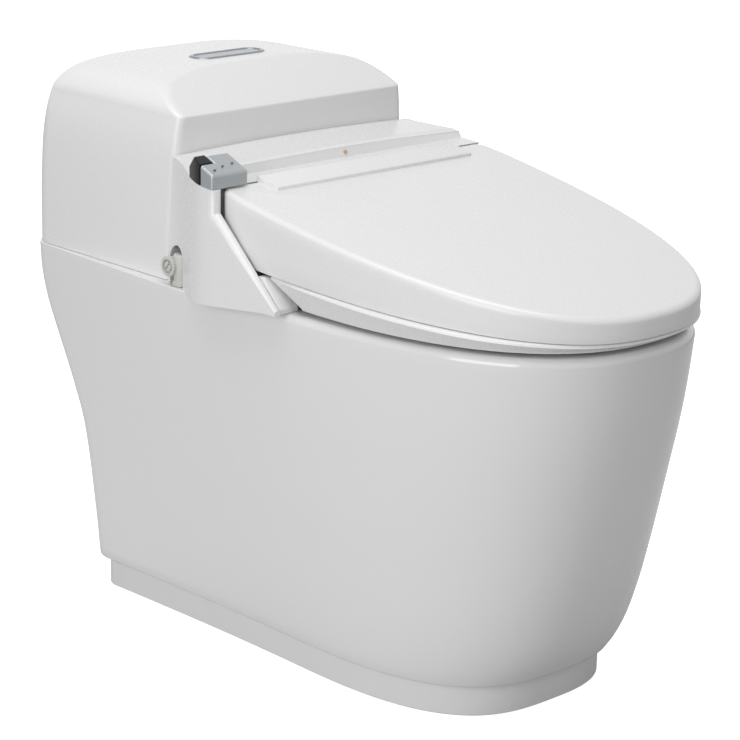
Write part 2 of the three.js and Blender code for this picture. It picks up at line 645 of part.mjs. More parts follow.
// Levels from the visor to the flat top: height, half width, back edge and back corner, as shares.
const HOOD_FACET_SHARES = [
  [0.05, 0.949, 0.04, 0.25], [0.17, 0.943, 0.046, 0.26], [0.37, 0.919, 0.062, 0.28], [0.57, 0.875, 0.083, 0.3],
  [0.765, 0.781, 0.12, 0.325], [0.89, 0.638, 0.166, 0.325], [0.96, 0.5, 0.216, 0.3], [1, 0.362, 0.274, 0.275],
];
function hoodRing(half, front, back, corner, frontCorner) {
  return [
    ...arc(half - corner, -back - corner, corner, 0, 90, 6), ...arc(-half + corner, -back - corner, corner, 90, 180, 6),
    ...arc(-half + frontCorner, -front + frontCorner, frontCorner, 180, 270, 4),
    ...arc(half - frontCorner, -front + frontCorner, frontCorner, 270, 360, 4),
  ].map(([x, y]) => new THREE.Vector2(x, y));
}
function hoodShape(inset, low) {
  const rings = HOOD_WALL_SHARES.map(([rise, half, back, corner]) => ringAt(hoodRing(
    HOOD_HALF * half - inset, HOOD_DEPTH + VISOR_OUT * rise - inset, HOOD_DEPTH * back + inset,
    HOOD_HALF * corner - inset, HOOD_CORNER - inset), mix(rise ? DECK_Z : low, VISOR_Z - inset * 0.6, rise)));
  for (const [rise, half, back, corner] of HOOD_FACET_SHARES) {
    rings.push(ringAt(hoodRing(HOOD_HALF * half - inset * 0.8, HOOD_DEPTH + VISOR_OUT - HOOD_FACET * rise - inset * 0.5,
      HOOD_DEPTH * back + inset * 0.6, HOOD_HALF * corner - inset * 0.5, HOOD_CORNER - inset),
    mix(VISOR_Z, HOOD_TOP, rise) - inset));
  }
  return loft(rings);
}
const pill = (long, wide, z0, z1) => prismZ(roundRect(0, -BUTTON_Y, long, wide, wide / 2 - GAP / 3, 8), z0, z1);
const BEZEL_TOP = HOOD_TOP + BEZEL_PROUD;
const hood = cut(hoodShape(0, DECK_Z + GAP), hoodShape(HOOD_WALL, DECK_Z - OVER),
  pill(BEZEL_LONG + 2 * GAP, BEZEL_WIDE + 2 * GAP, LEVER_Z, BEZEL_TOP + OVER));
piece('tank_hood', hood, 'plastic');
const HOLE_LONG = BEZEL_LONG - 2 * BEZEL_BAND;
const HOLE_WIDE = BEZEL_WIDE - 2 * BEZEL_BAND;
piece('button_bezel', cut(pill(BEZEL_LONG, BEZEL_WIDE, BEZEL_TOP - BEZEL_DEPTH, BEZEL_TOP),
  pill(HOLE_LONG, HOLE_WIDE, BEZEL_TOP - BEZEL_DEPTH - OVER, BEZEL_TOP + OVER)), 'chrome');
const BUTTON_TOP = BEZEL_TOP - BUTTON_SINK;
const STEM_LOW = LEVER_Z + LEVER_THICK / 2 + 2 * GAP;
piece('flush_button', joined(
  pill(HOLE_LONG - 2 * GAP, HOLE_WIDE - 2 * GAP, BUTTON_TOP - BUTTON_THICK, BUTTON_TOP),
  turned([[0, STEM_LOW], [STEM_TIP_R, STEM_LOW], [STEM_R, STEM_LOW + STEM_R], [STEM_R, BUTTON_TOP - BUTTON_THICK / 2],
    [0, BUTTON_TOP - BUTTON_THICK / 2]], 0, -BUTTON_Y, 0)), 'silver');

// cistern and flush works
const CISTERN_LOW = DECK_Z + GAP;
const FLOOR_Z = CISTERN_LOW + CISTERN_WALL;
const CISTERN_MID = (CISTERN_FRONT + CISTERN_BACK) / 2;
const CISTERN_D = CISTERN_FRONT - CISTERN_BACK;
piece('cistern', cut(
  prismZ(roundRect(0, -CISTERN_MID, 2 * CISTERN_HALF, CISTERN_D, CISTERN_ROUND), CISTERN_LOW, CISTERN_LOW + CISTERN_H),
  prismZ(roundRect(0, -CISTERN_MID, 2 * (CISTERN_HALF - CISTERN_WALL), CISTERN_D - 2 * CISTERN_WALL,
    CISTERN_ROUND - CISTERN_WALL), FLOOR_Z, CISTERN_LOW + CISTERN_H + OVER),
  rod(VALVE_R + 2 * GAP, DECK_Z - OVER, FLOOR_Z + OVER, 0, -DUCT_Y),
  rod(FILL_SHANK_R + 2 * GAP, DECK_Z - OVER, FLOOR_Z + OVER, -FILL_X, -FILL_Y)), 'inner');
const SEAT_TOP = FLOOR_Z + GAP + VALVE_SEAT_H;
const CAN_LOW = SEAT_TOP + GAP + SEAL_H + GAP;
const CAGE_Z = CAN_LOW + CAN_H * 0.62;
const POST = VALVE_SEAT_R - CAN_R - 3 * GAP - CAGE_RING * 0.5;
const tail = tube(DUCT_BORE - 2 * CAN_WALL, DUCT_BORE - GAP, DECK_Z - WALL, FLOOR_Z + VALVE_SEAT_H / 2, 0, -DUCT_Y);
const throat = rod(DUCT_BORE - 2 * CAN_WALL, DECK_Z - WALL - OVER, SEAT_TOP + OVER, 0, -DUCT_Y);
const cageRing = tube(CAN_R + 2 * GAP, VALVE_SEAT_R, CAGE_Z, CAGE_Z + CAGE_RING, 0, -DUCT_Y);
const postAt = (side) => box(side * VALVE_SEAT_R - (side > 0 ? POST : 0), side * VALVE_SEAT_R + (side > 0 ? 0 : POST),
  -DUCT_Y - POST / 2, -DUCT_Y + POST / 2, SEAT_TOP - VALVE_SEAT_H / 2, CAGE_Z + CAGE_RING / 2);
piece('flush_valve_body', cut(joined(
  tube(DUCT_BORE - 2 * CAN_WALL, VALVE_SEAT_R, FLOOR_Z + GAP, SEAT_TOP, 0, -DUCT_Y), tail, cageRing,
  postAt(1), postAt(-1)), throat), 'inner');
piece('flush_valve_seal', tube(DUCT_BORE - 2 * CAN_WALL, CAN_R + CAN_WALL, SEAT_TOP + GAP, SEAT_TOP + GAP + SEAL_H,
  0, -DUCT_Y), 'rubber');
const CAN_TOP = CAN_LOW + CAN_H;
const COLLAR_Z = LEVER_Z + LEVER_THICK / 2 + COLLAR_PLAY;
const HOOK_R = STEM_R * 0.6;
piece('flush_canister', joined(
  tube(CAN_R - CAN_WALL, CAN_R, CAN_LOW, CAN_TOP, 0, -DUCT_Y),
  box(-CAN_R + CAN_WALL / 2, CAN_R - CAN_WALL / 2, -DUCT_Y - HOOK_R, -DUCT_Y + HOOK_R, CAN_TOP - 2 * HOOK_R, CAN_TOP),
  rod(HOOK_R, CAN_TOP - HOOK_R, COLLAR_Z + CAN_WALL, 0, -DUCT_Y, 16),
  rod(STEM_R, COLLAR_Z, COLLAR_Z + CAN_WALL, 0, -DUCT_Y, 16)), 'grey');
// rocker under the button: the front end is pushed, the forked back end lifts the canister
piece('flush_rocker', cut(joined(
  box(-LEVER_WIDE / 2, LEVER_WIDE / 2, -BUTTON_Y - STEM_R, -LEVER_Y + LEVER_BACK + STEM_R + HOOK_R,
    LEVER_Z - LEVER_THICK / 2, LEVER_Z + LEVER_THICK / 2),
  rodX(LEVER_THICK, -LEVER_WIDE / 2, LEVER_WIDE / 2, -LEVER_Y, LEVER_Z)),
box(-HOOK_R - 2 * GAP, HOOK_R + 2 * GAP, -DUCT_Y - HOOK_R - 3 * GAP, -DUCT_Y + STEM_R + HOOK_R + OVER,
  LEVER_Z - LEVER_THICK, LEVER_Z + LEVER_THICK),
rodX(PIVOT_R + GAP, -LEVER_WIDE, LEVER_WIDE, -LEVER_Y, LEVER_Z)), 'grey');
// bridge across the cistern that holds the rocker's pivot
const BRIDGE_LOW = CISTERN_LOW + CISTERN_H + GAP;
const EAR = 4;
const earAt = (side) => box(Math.min(side * (LEVER_WIDE / 2 + GAP), side * (LEVER_WIDE / 2 + GAP + EAR)),
  Math.max(side * (LEVER_WIDE / 2 + GAP), side * (LEVER_WIDE / 2 + GAP + EAR)),
  -LEVER_Y - LEVER_THICK, -LEVER_Y + LEVER_THICK, BRIDGE_LOW, LEVER_Z + LEVER_THICK);
piece('rocker_bridge', joined(
  box(-CISTERN_HALF, CISTERN_HALF, -LEVER_Y - LEVER_THICK, -LEVER_Y + LEVER_THICK, BRIDGE_LOW, BRIDGE_LOW + EAR),
  earAt(1), earAt(-1),
  rodX(PIVOT_R, -LEVER_WIDE / 2 - EAR, LEVER_WIDE / 2 + EAR, -LEVER_Y, LEVER_Z)), 'inner');
piece('fill_valve', joined(
  rod(FILL_R, FLOOR_Z + GAP, FLOOR_Z + FILL_H, -FILL_X, -FILL_Y),
  rod(FILL_R + CAN_WALL * 2, FLOOR_Z + GAP, FLOOR_Z + FLOAT_REST - GAP, -FILL_X, -FILL_Y),
  rod(FILL_R + CAN_WALL * 2, FLOOR_Z + FILL_H - CAN_R, FLOOR_Z + FILL_H, -FILL_X, -FILL_Y),
  rod(FILL_SHANK_R, RIM_Z - RIM_DEPTH, FLOOR_Z + GAP + CAN_WALL, -FILL_X, -FILL_Y)), 'inner');
piece('fill_float', tube(FILL_R + 2 * GAP, FLOAT_R, FLOOR_Z + FLOAT_REST, FLOOR_Z + FLOAT_REST + FLOAT_H,
  -FILL_X, -FILL_Y), 'clear');

// washer unit
// The casing's back follows the leaning front of the hood.
const casingBack = (z) => HOOD_DEPTH + VISOR_OUT * (z - DECK_Z) / (VISOR_Z - DECK_Z) + WASHER_SEAM;
const WASHER_BACK = casingBack(DECK_Z);
const WASHER_BACK_TOP = casingBack(WASHER_TOP);
const INNER_BACK = WASHER_BACK_TOP + 2 * WASHER_WALL;
// Side section of the casing with its cheeks, drawn in by an inset.
const bottomAt = (y) => (y < RAMP_START ? DECK_Z : y > RAMP_END ? RIM_Z
  : mix(DECK_Z, RIM_Z, (y - RAMP_START) / (RAMP_END - RAMP_START)));
const LIP_Z = HINGE_Z + TAIL_ROOM * Math.sin(THREE.MathUtils.degToRad(LIP_TURN));
const LIP_Y = HINGE_Y - TAIL_ROOM * Math.cos(THREE.MathUtils.degToRad(LIP_TURN));
function casingPlan() {
  const right = [];
  for (let i = 0; i <= 8; i++) {
    const s = i / 8;
    right.push([mix(HOOD_HALF, WASHER_HALF, 0.5 - 0.5 * Math.cos(s * Math.PI)), -mix(WASHER_BACK, WASHER_FLARE_Y, s)]);
  }
  right.push([WASHER_HALF, -CHEEK_FRONT]);
  right.push([mix(WASHER_HALF, CHEEK_IN, 0.35), -CHEEK_TIP_Y - OVER]);
  return [...right, ...right.slice().reverse().map(([x, y]) => [-x, y])].reverse();
}
// The top of the casing is lower towards its ends; below the foot of its front face nothing moves.
const archBow = (x, z) => WASHER_ARCH * (x / CHEEK_IN) ** 2
  * THREE.MathUtils.clamp((z - FACE_FOOT_Z) / (WASHER_EDGE_Z - EDGE_ROUND - FACE_FOOT_Z), 0, 1);
const casingSide = [
  [-WASHER_BACK, DECK_Z + GAP], [-WASHER_BACK_TOP, WASHER_TOP - EDGE_ROUND], [-WASHER_BACK_TOP - EDGE_ROUND, WASHER_TOP],
  [-WASHER_EDGE_Y + 2 * EDGE_ROUND, WASHER_EDGE_Z + EDGE_ROUND / 2],
  [-WASHER_EDGE_Y, WASHER_EDGE_Z - EDGE_ROUND / 2], [-CHEEK_FRONT + EDGE_ROUND, CHEEK_TOP], [-CHEEK_FRONT, CHEEK_TOP - EDGE_ROUND],
  [-CHEEK_FRONT, CHEEK_BREAK_Z], [-CHEEK_TIP_Y, RIM_Z + GAP + CHEEK_TIP_H], [-CHEEK_TIP_Y, RIM_Z + GAP],
  [-RAMP_END, RIM_Z + GAP], [-RAMP_START, DECK_Z + GAP],
];
// what the lid and the seat need between the cheeks
const swingRoom = [
  [-WASHER_EDGE_Y - EDGE_ROUND, WASHER_EDGE_Z - EDGE_ROUND], [-FACE_FOOT_Y, FACE_FOOT_Z],
  ...arc(-HINGE_Y, HINGE_Z, TAIL_ROOM, LIP_TURN, 0, 5),
  [-FRONT_WALL_Y, DECK_Z - OVER], [-CHEEK_TIP_Y - OVER, DECK_Z - OVER],
  [-CHEEK_TIP_Y - OVER, WASHER_TOP + OVER], [-WASHER_EDGE_Y - EDGE_ROUND, WASHER_TOP + OVER],
];
function casing() {
  const outer = prismX(casingSide, -WASHER_HALF - OVER, WASHER_HALF + OVER, archBow)
    .intersect(prismZ(casingPlan(), DECK_Z, WASHER_TOP + OVER));
  const inside = [
    [-WASHER_BACK - WASHER_WALL, DECK_Z - OVER],
    [-WASHER_BACK_TOP - WASHER_WALL, WASHER_TOP - WASHER_WALL - WASHER_ARCH],
    [-WASHER_EDGE_Y + 2 * WASHER_WALL, WASHER_EDGE_Z - WASHER_WALL - WASHER_ARCH],
    [-FACE_FOOT_Y + WASHER_WALL, FACE_FOOT_Z - WASHER_WALL],
    ...arc(-HINGE_Y, HINGE_Z, TAIL_ROOM + WASHER_WALL, LIP_TURN - 6, 0, 4),
    [-FRONT_WALL_Y + WASHER_WALL, DECK_Z - OVER],
  ];
  const archCut = [
    ...arc(-RECESS_Y, RECESS_TOP - RECESS_HALF, RECESS_HALF, 0, 180, 10),
    [-RECESS_Y - RECESS_HALF, DECK_Z - OVER], [-RECESS_Y + RECESS_HALF, DECK_Z - OVER],
  ];
  const lowCheek = [
    [-WASHER_EDGE_Y - EDGE_ROUND, WASHER_TOP + OVER], [-WASHER_EDGE_Y - EDGE_ROUND, CHEEK_LOW_TOP],
    [-CHEEK_FRONT - OVER, CHEEK_BREAK_Z - EDGE_ROUND], [-CHEEK_FRONT - OVER, WASHER_TOP + OVER],
  ];
  return cut(outer, prismX(swingRoom, -CHEEK_IN, CHEEK_IN, archBow),
    prismX(lowCheek, CHEEK_IN, WASHER_HALF + 2 * OVER),
    prismX(inside, -HOOD_HALF + WASHER_WALL, HOOD_HALF - WASHER_WALL),
    prismX(archCut, -WASHER_HALF - OVER, -VALVE_X + BARREL_LEN + OVER),
    box(-BAY_HALF - GAP, BAY_HALF + GAP, -HINGE_Y, -FRONT_WALL_Y + 3 * WASHER_WALL, DECK_Z - OVER, HINGE_Z - TAIL_ROOM * 0.7));
}
piece('washer_casing', casing(), 'plastic');

const way = new V3(0, -Math.cos(NOZZLE_TILT), -Math.sin(NOZZLE_TILT));
const mouth = new V3(0, -BLOCK_FRONT, NOZZLE_Z);
const along = (x, s) => new V3(x, mouth.y + way.y * s, mouth.z + way.z * s);
const BASE_TOP = DECK_Z + GAP + BASE_T;
// base plate inside the casing, the low block in front of it and the bar that carries the hinge line
const BAR_FOOT = BLOCK_BACK_Z + GAP;
const NECK_Y = HINGE_Y - (HINGE_Z - BAR_FOOT) * Math.tan(THREE.MathUtils.degToRad(NECK_TURN + 90));
const blockSolid = prismX([
  [-FRONT_WALL_Y - GAP, bottomAt(FRONT_WALL_Y + GAP) + GAP], [-FRONT_WALL_Y - GAP, BLOCK_BACK_Z],
  [-BLOCK_FRONT, BLOCK_BACK_Z], [-BLOCK_FRONT, bottomAt(BLOCK_FRONT) + GAP],
], -BLOCK_HALF, BLOCK_HALF);
const plate = prismX([
  [-INNER_BACK, DECK_Z + GAP], [-INNER_BACK, BASE_TOP],
  [-FRONT_WALL_Y + WASHER_WALL + GAP, BASE_TOP], [-FRONT_WALL_Y + WASHER_WALL + GAP, DECK_Z + GAP],
], -PLATE_HALF, PLATE_HALF);
const tilted = (x0, x1, s0, s1, h0, h1) => {
  const g = new THREE.BoxGeometry(x1 - x0, s1 - s0, h1 - h0);
  g.translate((x0 + x1) / 2, -(s0 + s1) / 2, (h0 + h1) / 2).rotateX(NOZZLE_TILT);
  return placed(g, 0, mouth.y, mouth.z);
};
const BAY_BACK = NOZZLE_LEN + NOZZLE_R;
const bay = (grow, front) => tilted(-BAY_HALF + WASHER_WALL - grow, BAY_HALF - WASHER_WALL + grow,
  -BAY_BACK - grow, front, -BAY_HIGH - grow, BAY_HIGH + grow);
piece('washer_base', cut(plate, bay(GAP, BLOCK_FRONT)), 'inner');
piece('front_block', cut(blockSolid, bay(GAP, BLOCK_FRONT)), 'inner');
piece('hinge_bar', cut(prismX([
  [-NECK_Y, BAR_FOOT], ...arc(-HINGE_Y, HINGE_Z, CORE_R, NECK_TURN, 180, 14), [-BLOCK_FRONT, BAR_FOOT],
], -BLOCK_HALF, BLOCK_HALF), ...[-1, 1].map((s) => rodX(PIN_R + GAP, Math.min(s * (BLOCK_HALF - PIN_REACH), s * (BLOCK_HALF + OVER)),
  Math.max(s * (BLOCK_HALF - PIN_REACH), s * (BLOCK_HALF + OVER)), -HINGE_Y, HINGE_Z))), 'inner');
// ends of the washer that fill the space between block and cheeks
const endSide = [
  [-FRONT_WALL_Y - GAP, bottomAt(FRONT_WALL_Y + GAP) + 4 * GAP], [-RAMP_END, RIM_Z + GAP], [-END_FRONT, RIM_Z + GAP],
  [-END_FRONT, RIM_Z + CHEEK_TIP_H], [-END_TOP_Y, END_TOP_Z], [-HINGE_Y, END_BACK_Z + OVER], [-END_BACK_Y, END_BACK_Z],
  [-FRONT_WALL_Y - GAP, END_BACK_Z],
];
for (const [name, s] of [['end_cover_right', -1], ['end_cover_left', 1]]) {
  piece(name, prismX(endSide, Math.min(s * END_IN, s * (CHEEK_IN - GAP)), Math.max(s * END_IN, s * (CHEEK_IN - GAP))), 'plastic');
}
const frontFace = box(-BLOCK_HALF, BLOCK_HALF, -RAMP_END - BLOCK_FRONT, -BLOCK_FRONT, 0, WASHER_TOP);
const baySolid = cut(bay(0, BAY_HIGH), frontFace, box(-BAY_HALF, BAY_HALF, -RAMP_END, -RAMP_START + OVER, 0, bottomAt(BLOCK_FRONT) + GAP),
  ...[-1, 1].map((s) => rodBetween(NOZZLE_R + GAP, along(s * NOZZLE_X, -NOZZLE_LEN - GAP), along(s * NOZZLE_X, OVER * BAY_HIGH))));
piece('nozzle_bay', baySolid, 'clear');
for (const [name, s] of [['rear_nozzle', -1], ['front_nozzle', 1]]) {
  const holes = [0.08, 0.14].map((share) => {
    const at = along(s * NOZZLE_X, -NOZZLE_LEN * share);
    return rodBetween(NOZZLE_R * 0.16, at, at.clone().add(new V3(0, 0, NOZZLE_R * 2)), 8);
  });
  piece(name, cut(rodBetween(NOZZLE_R, along(s * NOZZLE_X, -NOZZLE_LEN), along(s * NOZZLE_X, -OVER / 2), 24), ...holes), 'silver');
}
// inside the casing: instant heater, water valve, fan and board
const HEATER_IN = 44;
const HEATER_OUT = 132;
const HEATER_H = 62;
const HEATER_ROUND = 8;
const HEATER_CLEAR = 10;         // to the casing's front wall
const HEATER_FRONT = FRONT_WALL_Y - WASHER_WALL - HEATER_CLEAR;
piece('water_heater', prismZ(roundRect(-(HEATER_IN + HEATER_OUT) / 2, -(INNER_BACK + HEATER_FRONT) / 2, HEATER_OUT - HEATER_IN,
  HEATER_FRONT - INNER_BACK, HEATER_ROUND), BASE_TOP + GAP, BASE_TOP + GAP + HEATER_H), 'clear');
const FAN_X = 62;
const FAN_R = 24;
const FAN_H = 26;
const FAN_WALL = 2.5;
const FAN_Y = (INNER_BACK + HEATER_FRONT) / 2;
const FAN_Z = BASE_TOP + GAP;
const HUB_R = 5;
piece('fan_housing', cut(joined(tube(FAN_R, FAN_R + FAN_WALL, FAN_Z, FAN_Z + FAN_H, FAN_X, -FAN_Y),
  rod(FAN_R + FAN_WALL / 2, FAN_Z, FAN_Z + FAN_WALL, FAN_X, -FAN_Y),
  rod(HUB_R * 0.4, FAN_Z, FAN_Z + FAN_H * 0.8, FAN_X, -FAN_Y, 12)),
rodX(FAN_H * 0.28, FAN_X, FAN_X + FAN_R * 2, -FAN_Y, FAN_Z + FAN_H / 2, 12)), 'dark');
const blades = [];
const BLADE_COUNT = 9;
for (let i = 0; i < BLADE_COUNT; i++) {
  const g = new THREE.BoxGeometry(FAN_R - HUB_R - GAP * 3, FAN_WALL * 0.6, FAN_H * 0.6);
  g.translate((FAN_R + HUB_R - GAP * 3) / 2 - GAP, 0, 0).rotateZ((i / BLADE_COUNT) * Math.PI * 2);
  blades.push(placed(g, FAN_X, -FAN_Y, FAN_Z + FAN_WALL + GAP + FAN_H * 0.3));
}
piece('fan_wheel', joined(tube(HUB_R * 0.4 + GAP, HUB_R, FAN_Z + FAN_WALL + GAP, FAN_Z + FAN_WALL + GAP + FAN_H * 0.6, FAN_X, -FAN_Y, 24), ...blades), 'grey');
const BOARD_X = 98;
const BOARD_OUT = 134;
const BOARD_H = 74;
piece('control_board', box(BOARD_X, BOARD_OUT, -HEATER_FRONT, -INNER_BACK, BASE_TOP + GAP, BASE_TOP + GAP + BOARD_H * 0.5), 'green');
piece('water_valve', joined(
  box(HEATER_IN * -0.85, -BAY_HALF - GAP * 2, -HEATER_FRONT, -INNER_BACK, BASE_TOP + GAP, BASE_TOP + HEATER_H * 0.5),
  rod(HUB_R, BASE_TOP + GAP + HUB_R, BASE_TOP + HEATER_H * 0.75, -(HEATER_IN * 0.85 + BAY_HALF) / 2, -FAN_Y)), 'grey');

// control panel on the sitter's right
const panelTop = (y) => mix(PANEL_FRONT_Z, PANEL_BACK_Z, (PANEL_FRONT - y) / (PANEL_FRONT - PANEL_BACK));
const casingGrown = () => prismX([
  [-WASHER_BACK, DECK_Z], [-WASHER_BACK_TOP, WASHER_TOP + GAP], [-WASHER_EDGE_Y + 2 * EDGE_ROUND, WASHER_EDGE_Z + EDGE_ROUND / 2 + GAP],
  [-WASHER_EDGE_Y - GAP, WASHER_EDGE_Z - EDGE_ROUND / 2 + GAP], [-CHEEK_FRONT, CHEEK_TOP + GAP], [-CHEEK_FRONT, DECK_Z],
], -WASHER_HALF - OVER, WASHER_HALF + OVER, archBow);
function panelBlock(plan, backY, frontY) {
  const side = [
    [-backY, CHEEK_TOP - OVER], [-backY, panelTop(backY) - PANEL_ROUND / 3], [-backY - PANEL_ROUND / 2, panelTop(backY)],
    [-frontY + PANEL_ROUND / 2, panelTop(frontY)], [-frontY, panelTop(frontY) - PANEL_ROUND / 2],
    [-frontY, PANEL_LOW], [-CHEEK_FRONT + 2 * PANEL_ROUND, PANEL_LOW], [-CHEEK_FRONT + 4 * PANEL_ROUND, CHEEK_TOP - OVER],
  ];
  return cut(prismX(side, -WASHER_HALF - OVER, 0).intersect(prismZ(plan, CHEEK_TOP - OVER * 2, PANEL_BACK_Z + OVER)), casingGrown())
    .intersect(prismZ(casingPlan(), DECK_Z, PANEL_BACK_Z + OVER));
}
piece('control_panel', panelBlock([
  [-WASHER_HALF, -PANEL_STEP], [-WASHER_HALF, -PANEL_FRONT], [-PANEL_IN, -PANEL_FRONT], [-PANEL_IN, -PANEL_BACK],
  [-SENSOR_IN, -PANEL_BACK], [-SENSOR_IN, -PANEL_STEP],
], PANEL_BACK, PANEL_FRONT), 'silver');
const sensorSide = [
  [-PANEL_STEP + GAP, CHEEK_TOP - OVER], [-PANEL_STEP + GAP, panelTop(PANEL_STEP)], [-mix(SENSOR_BACK, PANEL_STEP, 0.45), panelTop(PANEL_STEP) + SENSOR_PROUD],
  [-SENSOR_BACK, mix(WASHER_EDGE_Z, PANEL_BACK_Z, 0.3)], [-SENSOR_BACK, CHEEK_TOP - OVER],
];
piece('sensor_window', cut(prismX(sensorSide, -WASHER_HALF, -SENSOR_IN - GAP), casingGrown())
  .intersect(prismZ(casingPlan(), DECK_Z, PANEL_BACK_Z + OVER)), 'black');
const LAMPS = [['lamp_power', 0.78, 0.62], ['lamp_seat', 0.5, 0.42], ['lamp_saver', 0.2, 0.3]];
for (const [name, sideShare, depthShare] of LAMPS) {
  const [x, y] = [-mix(PANEL_IN, WASHER_HALF, sideShare), mix(PANEL_STEP, PANEL_FRONT, depthShare)];
  piece(name, rod(LAMP_R, panelTop(y) + GAP * 1.5, panelTop(y) + GAP * 1.5 + LAMP_H, x, -y, 12), 'lamp');
}
// small amber lamp on the steep front face of the casing
const faceWay = new V3(0, -(WASHER_EDGE_Z - EDGE_ROUND - FACE_FOOT_Z), FACE_FOOT_Y - WASHER_EDGE_Y - EDGE_ROUND).normalize();
const faceMid = new V3(NIGHT_X, -(WASHER_EDGE_Y + EDGE_ROUND + FACE_FOOT_Y) / 2, (WASHER_EDGE_Z - EDGE_ROUND + FACE_FOOT_Z) / 2);
const offFace = (h) => faceMid.clone().addScaledVector(faceWay, h);
piece('night_lamp', rodBetween(LAMP_R * 1.6, offFace(GAP), offFace(GAP + LAMP_H), 12), 'amber');

// inlet valve
piece('inlet_valve', joined(
  rodX(BARREL_R, -VALVE_X - BARREL_LEN * 0.1, -VALVE_X + BARREL_LEN, -PLUG_Y, PLUG_Z),
  rod(DROP_R, DECK_Z + GAP, PLUG_Z + BARREL_R, -VALVE_X + DROP_R, -DROP_Y),
  rod(NUT_R, DECK_Z + GAP, DECK_Z + GAP + NUT_H, -VALVE_X + DROP_R, -DROP_Y, 16),
  box(-VALVE_X + DROP_R * 0.4, -VALVE_X + DROP_R * 1.6, -DROP_Y, -PLUG_Y, PLUG_Z - DROP_R * 0.6, PLUG_Z + DROP_R * 0.6)), 'grey');
const PLUG_IN = -VALVE_X - BARREL_LEN * 0.1 - GAP;
piece('strainer_plug', cut(rodX(PLUG_R, PLUG_IN - PLUG_T, PLUG_IN, -PLUG_Y, PLUG_Z, 32),
  box(PLUG_IN - PLUG_T - OVER, PLUG_IN - PLUG_T * 0.6, -PLUG_Y - PLUG_R * 0.6, -PLUG_Y + PLUG_R * 0.6, PLUG_Z - PLUG_SLOT / 2, PLUG_Z + PLUG_SLOT / 2)), 'grey');
piece('supply_stub', rod(DROP_R * 0.7, DECK_Z + GAP, DECK_Z + GAP + NUT_R * 1.6, -VALVE_X + 2.4 * DROP_R, -DROP_Y - DROP_R - NUT_R), 'steel');

// hinge pins
for (const [name, s] of [['hinge_pin_right', -1], ['hinge_pin_left', 1]]) {
  const [a, b] = [s * (BLOCK_HALF - PIN_REACH + GAP), s * (LID_LUG_IN + ARM_THICK + 2 * GAP)];
  piece(name, rodX(PIN_R, Math.min(a, b), Math.max(a, b), -HINGE_Y, HINGE_Z), 'steel', seatGroup);
}

// seat
const lidPlan = outline({ back: LID_TAIL, mid: LID_MID, nose: LID_NOSE, half: LID_HALF, backHalf: LID_BACK_HALF, corner: LID_CORNER, full: 2.45 });
const seamAt = (p) => SEAM_Z + SEAM_RISE * (p.y + LID_NOSE);
const crestAt = (p) => SEAM_Z + CREST_H + CREST_RISE * (p.y + LID_NOSE);
const SEAT_LOW = RIM_Z + SEAT_LIFT;
function seatShape() {
  const at = (share) => outline({
    back: mix(SEAT_TAIL, SEAT_TAIL_LOW, share), mid: LID_MID + mix(SEAT_HIP, SEAT_LOW_HIP, share),
    nose: mix(LID_NOSE, SEAT_LOW_NOSE, share), half: mix(LID_HALF, SEAT_LOW_HALF, share),
    backHalf: mix(LID_HALF, SEAT_LOW_HALF, share) - SEAT_ROUND / 2, corner: SEAT_CORNER, full: 2.3,
  });
  const seam = (p) => seamAt(p) - SEAM_GAP;
  return loft([
    ringAt(drawnIn(at(1), SEAT_ROUND), SEAT_LOW), ringAt(at(1), SEAT_LOW + SEAT_ROUND),
    ringAt(drawnIn(at(0), SEAT_ROUND * 0.75), (p) => seam(p) - SEAT_ROUND * 1.25), ringAt(drawnIn(at(0), SEAT_ROUND * 1.5), seam),
  ]);
}
function egg(half, y0, y1, count = 32) {
  const points = [];
  const middle = mix(y0, y1, 0.42);
  for (let i = 0; i < count; i++) {
    const a = (i / count) * Math.PI * 2;
    const [c, s] = [Math.cos(a), Math.sin(a)];
    const reach = s < 0 ? y1 - middle : middle - y0;
    points.push(new THREE.Vector2(half * Math.sign(c) * Math.abs(c) ** 0.92, -middle + reach * Math.sign(s) * Math.abs(s) ** 0.92));
  }
  return points;
}
const seatHole = loft([
  ringAt(egg(HOLE_HALF, HOLE_BACK, HOLE_FRONT), SEAT_LOW - OVER),
  ringAt(egg(HOLE_HALF, HOLE_BACK, HOLE_FRONT), (p) => mix(SEAT_LOW, seamAt(p), 0.4)),
  ringAt(egg(HOLE_HALF + HOLE_FLARE * 0.4, HOLE_BACK - HOLE_FLARE * 0.3, HOLE_FRONT + HOLE_FLARE * 0.3), (p) => mix(SEAT_LOW, seamAt(p), 0.75)),
  ringAt(egg(HOLE_HALF + HOLE_FLARE, HOLE_BACK - HOLE_FLARE * 0.8, HOLE_FRONT + HOLE_FLARE * 0.8), (p) => seamAt(p) + OVER),
]);
const armSide = [
  ...arc(-HINGE_Y, HINGE_Z, LUG_R, -60, 150, 10),
  [-SEAT_TAIL - ARM_FOOT, seamAt({ y: -SEAT_TAIL }) - SEAT_ROUND * 1.5], [-SEAT_TAIL_LOW - ARM_TOE, SEAT_LOW + SEAT_ROUND * 1.5],
  [-SEAT_TAIL_LOW, SEAT_LOW + SEAT_ROUND],
];
const armAt = (s) => prismX(armSide, Math.min(s * SEAT_ARM_IN, s * (SEAT_ARM_IN + ARM_THICK)), Math.max(s * SEAT_ARM_IN, s * (SEAT_ARM_IN + ARM_THICK)));
const pinBore = rodX(PIN_R + GAP, -CHEEK_IN, CHEEK_IN, -HINGE_Y, HINGE_Z);
const seatRelief = box(-BAY_HALF * 2, BAY_HALF * 2, -HOLE_BACK - BAY_HIGH, -SEAT_TAIL + OVER, SEAT_LOW - OVER, NOZZLE_Z + NOZZLE_R);
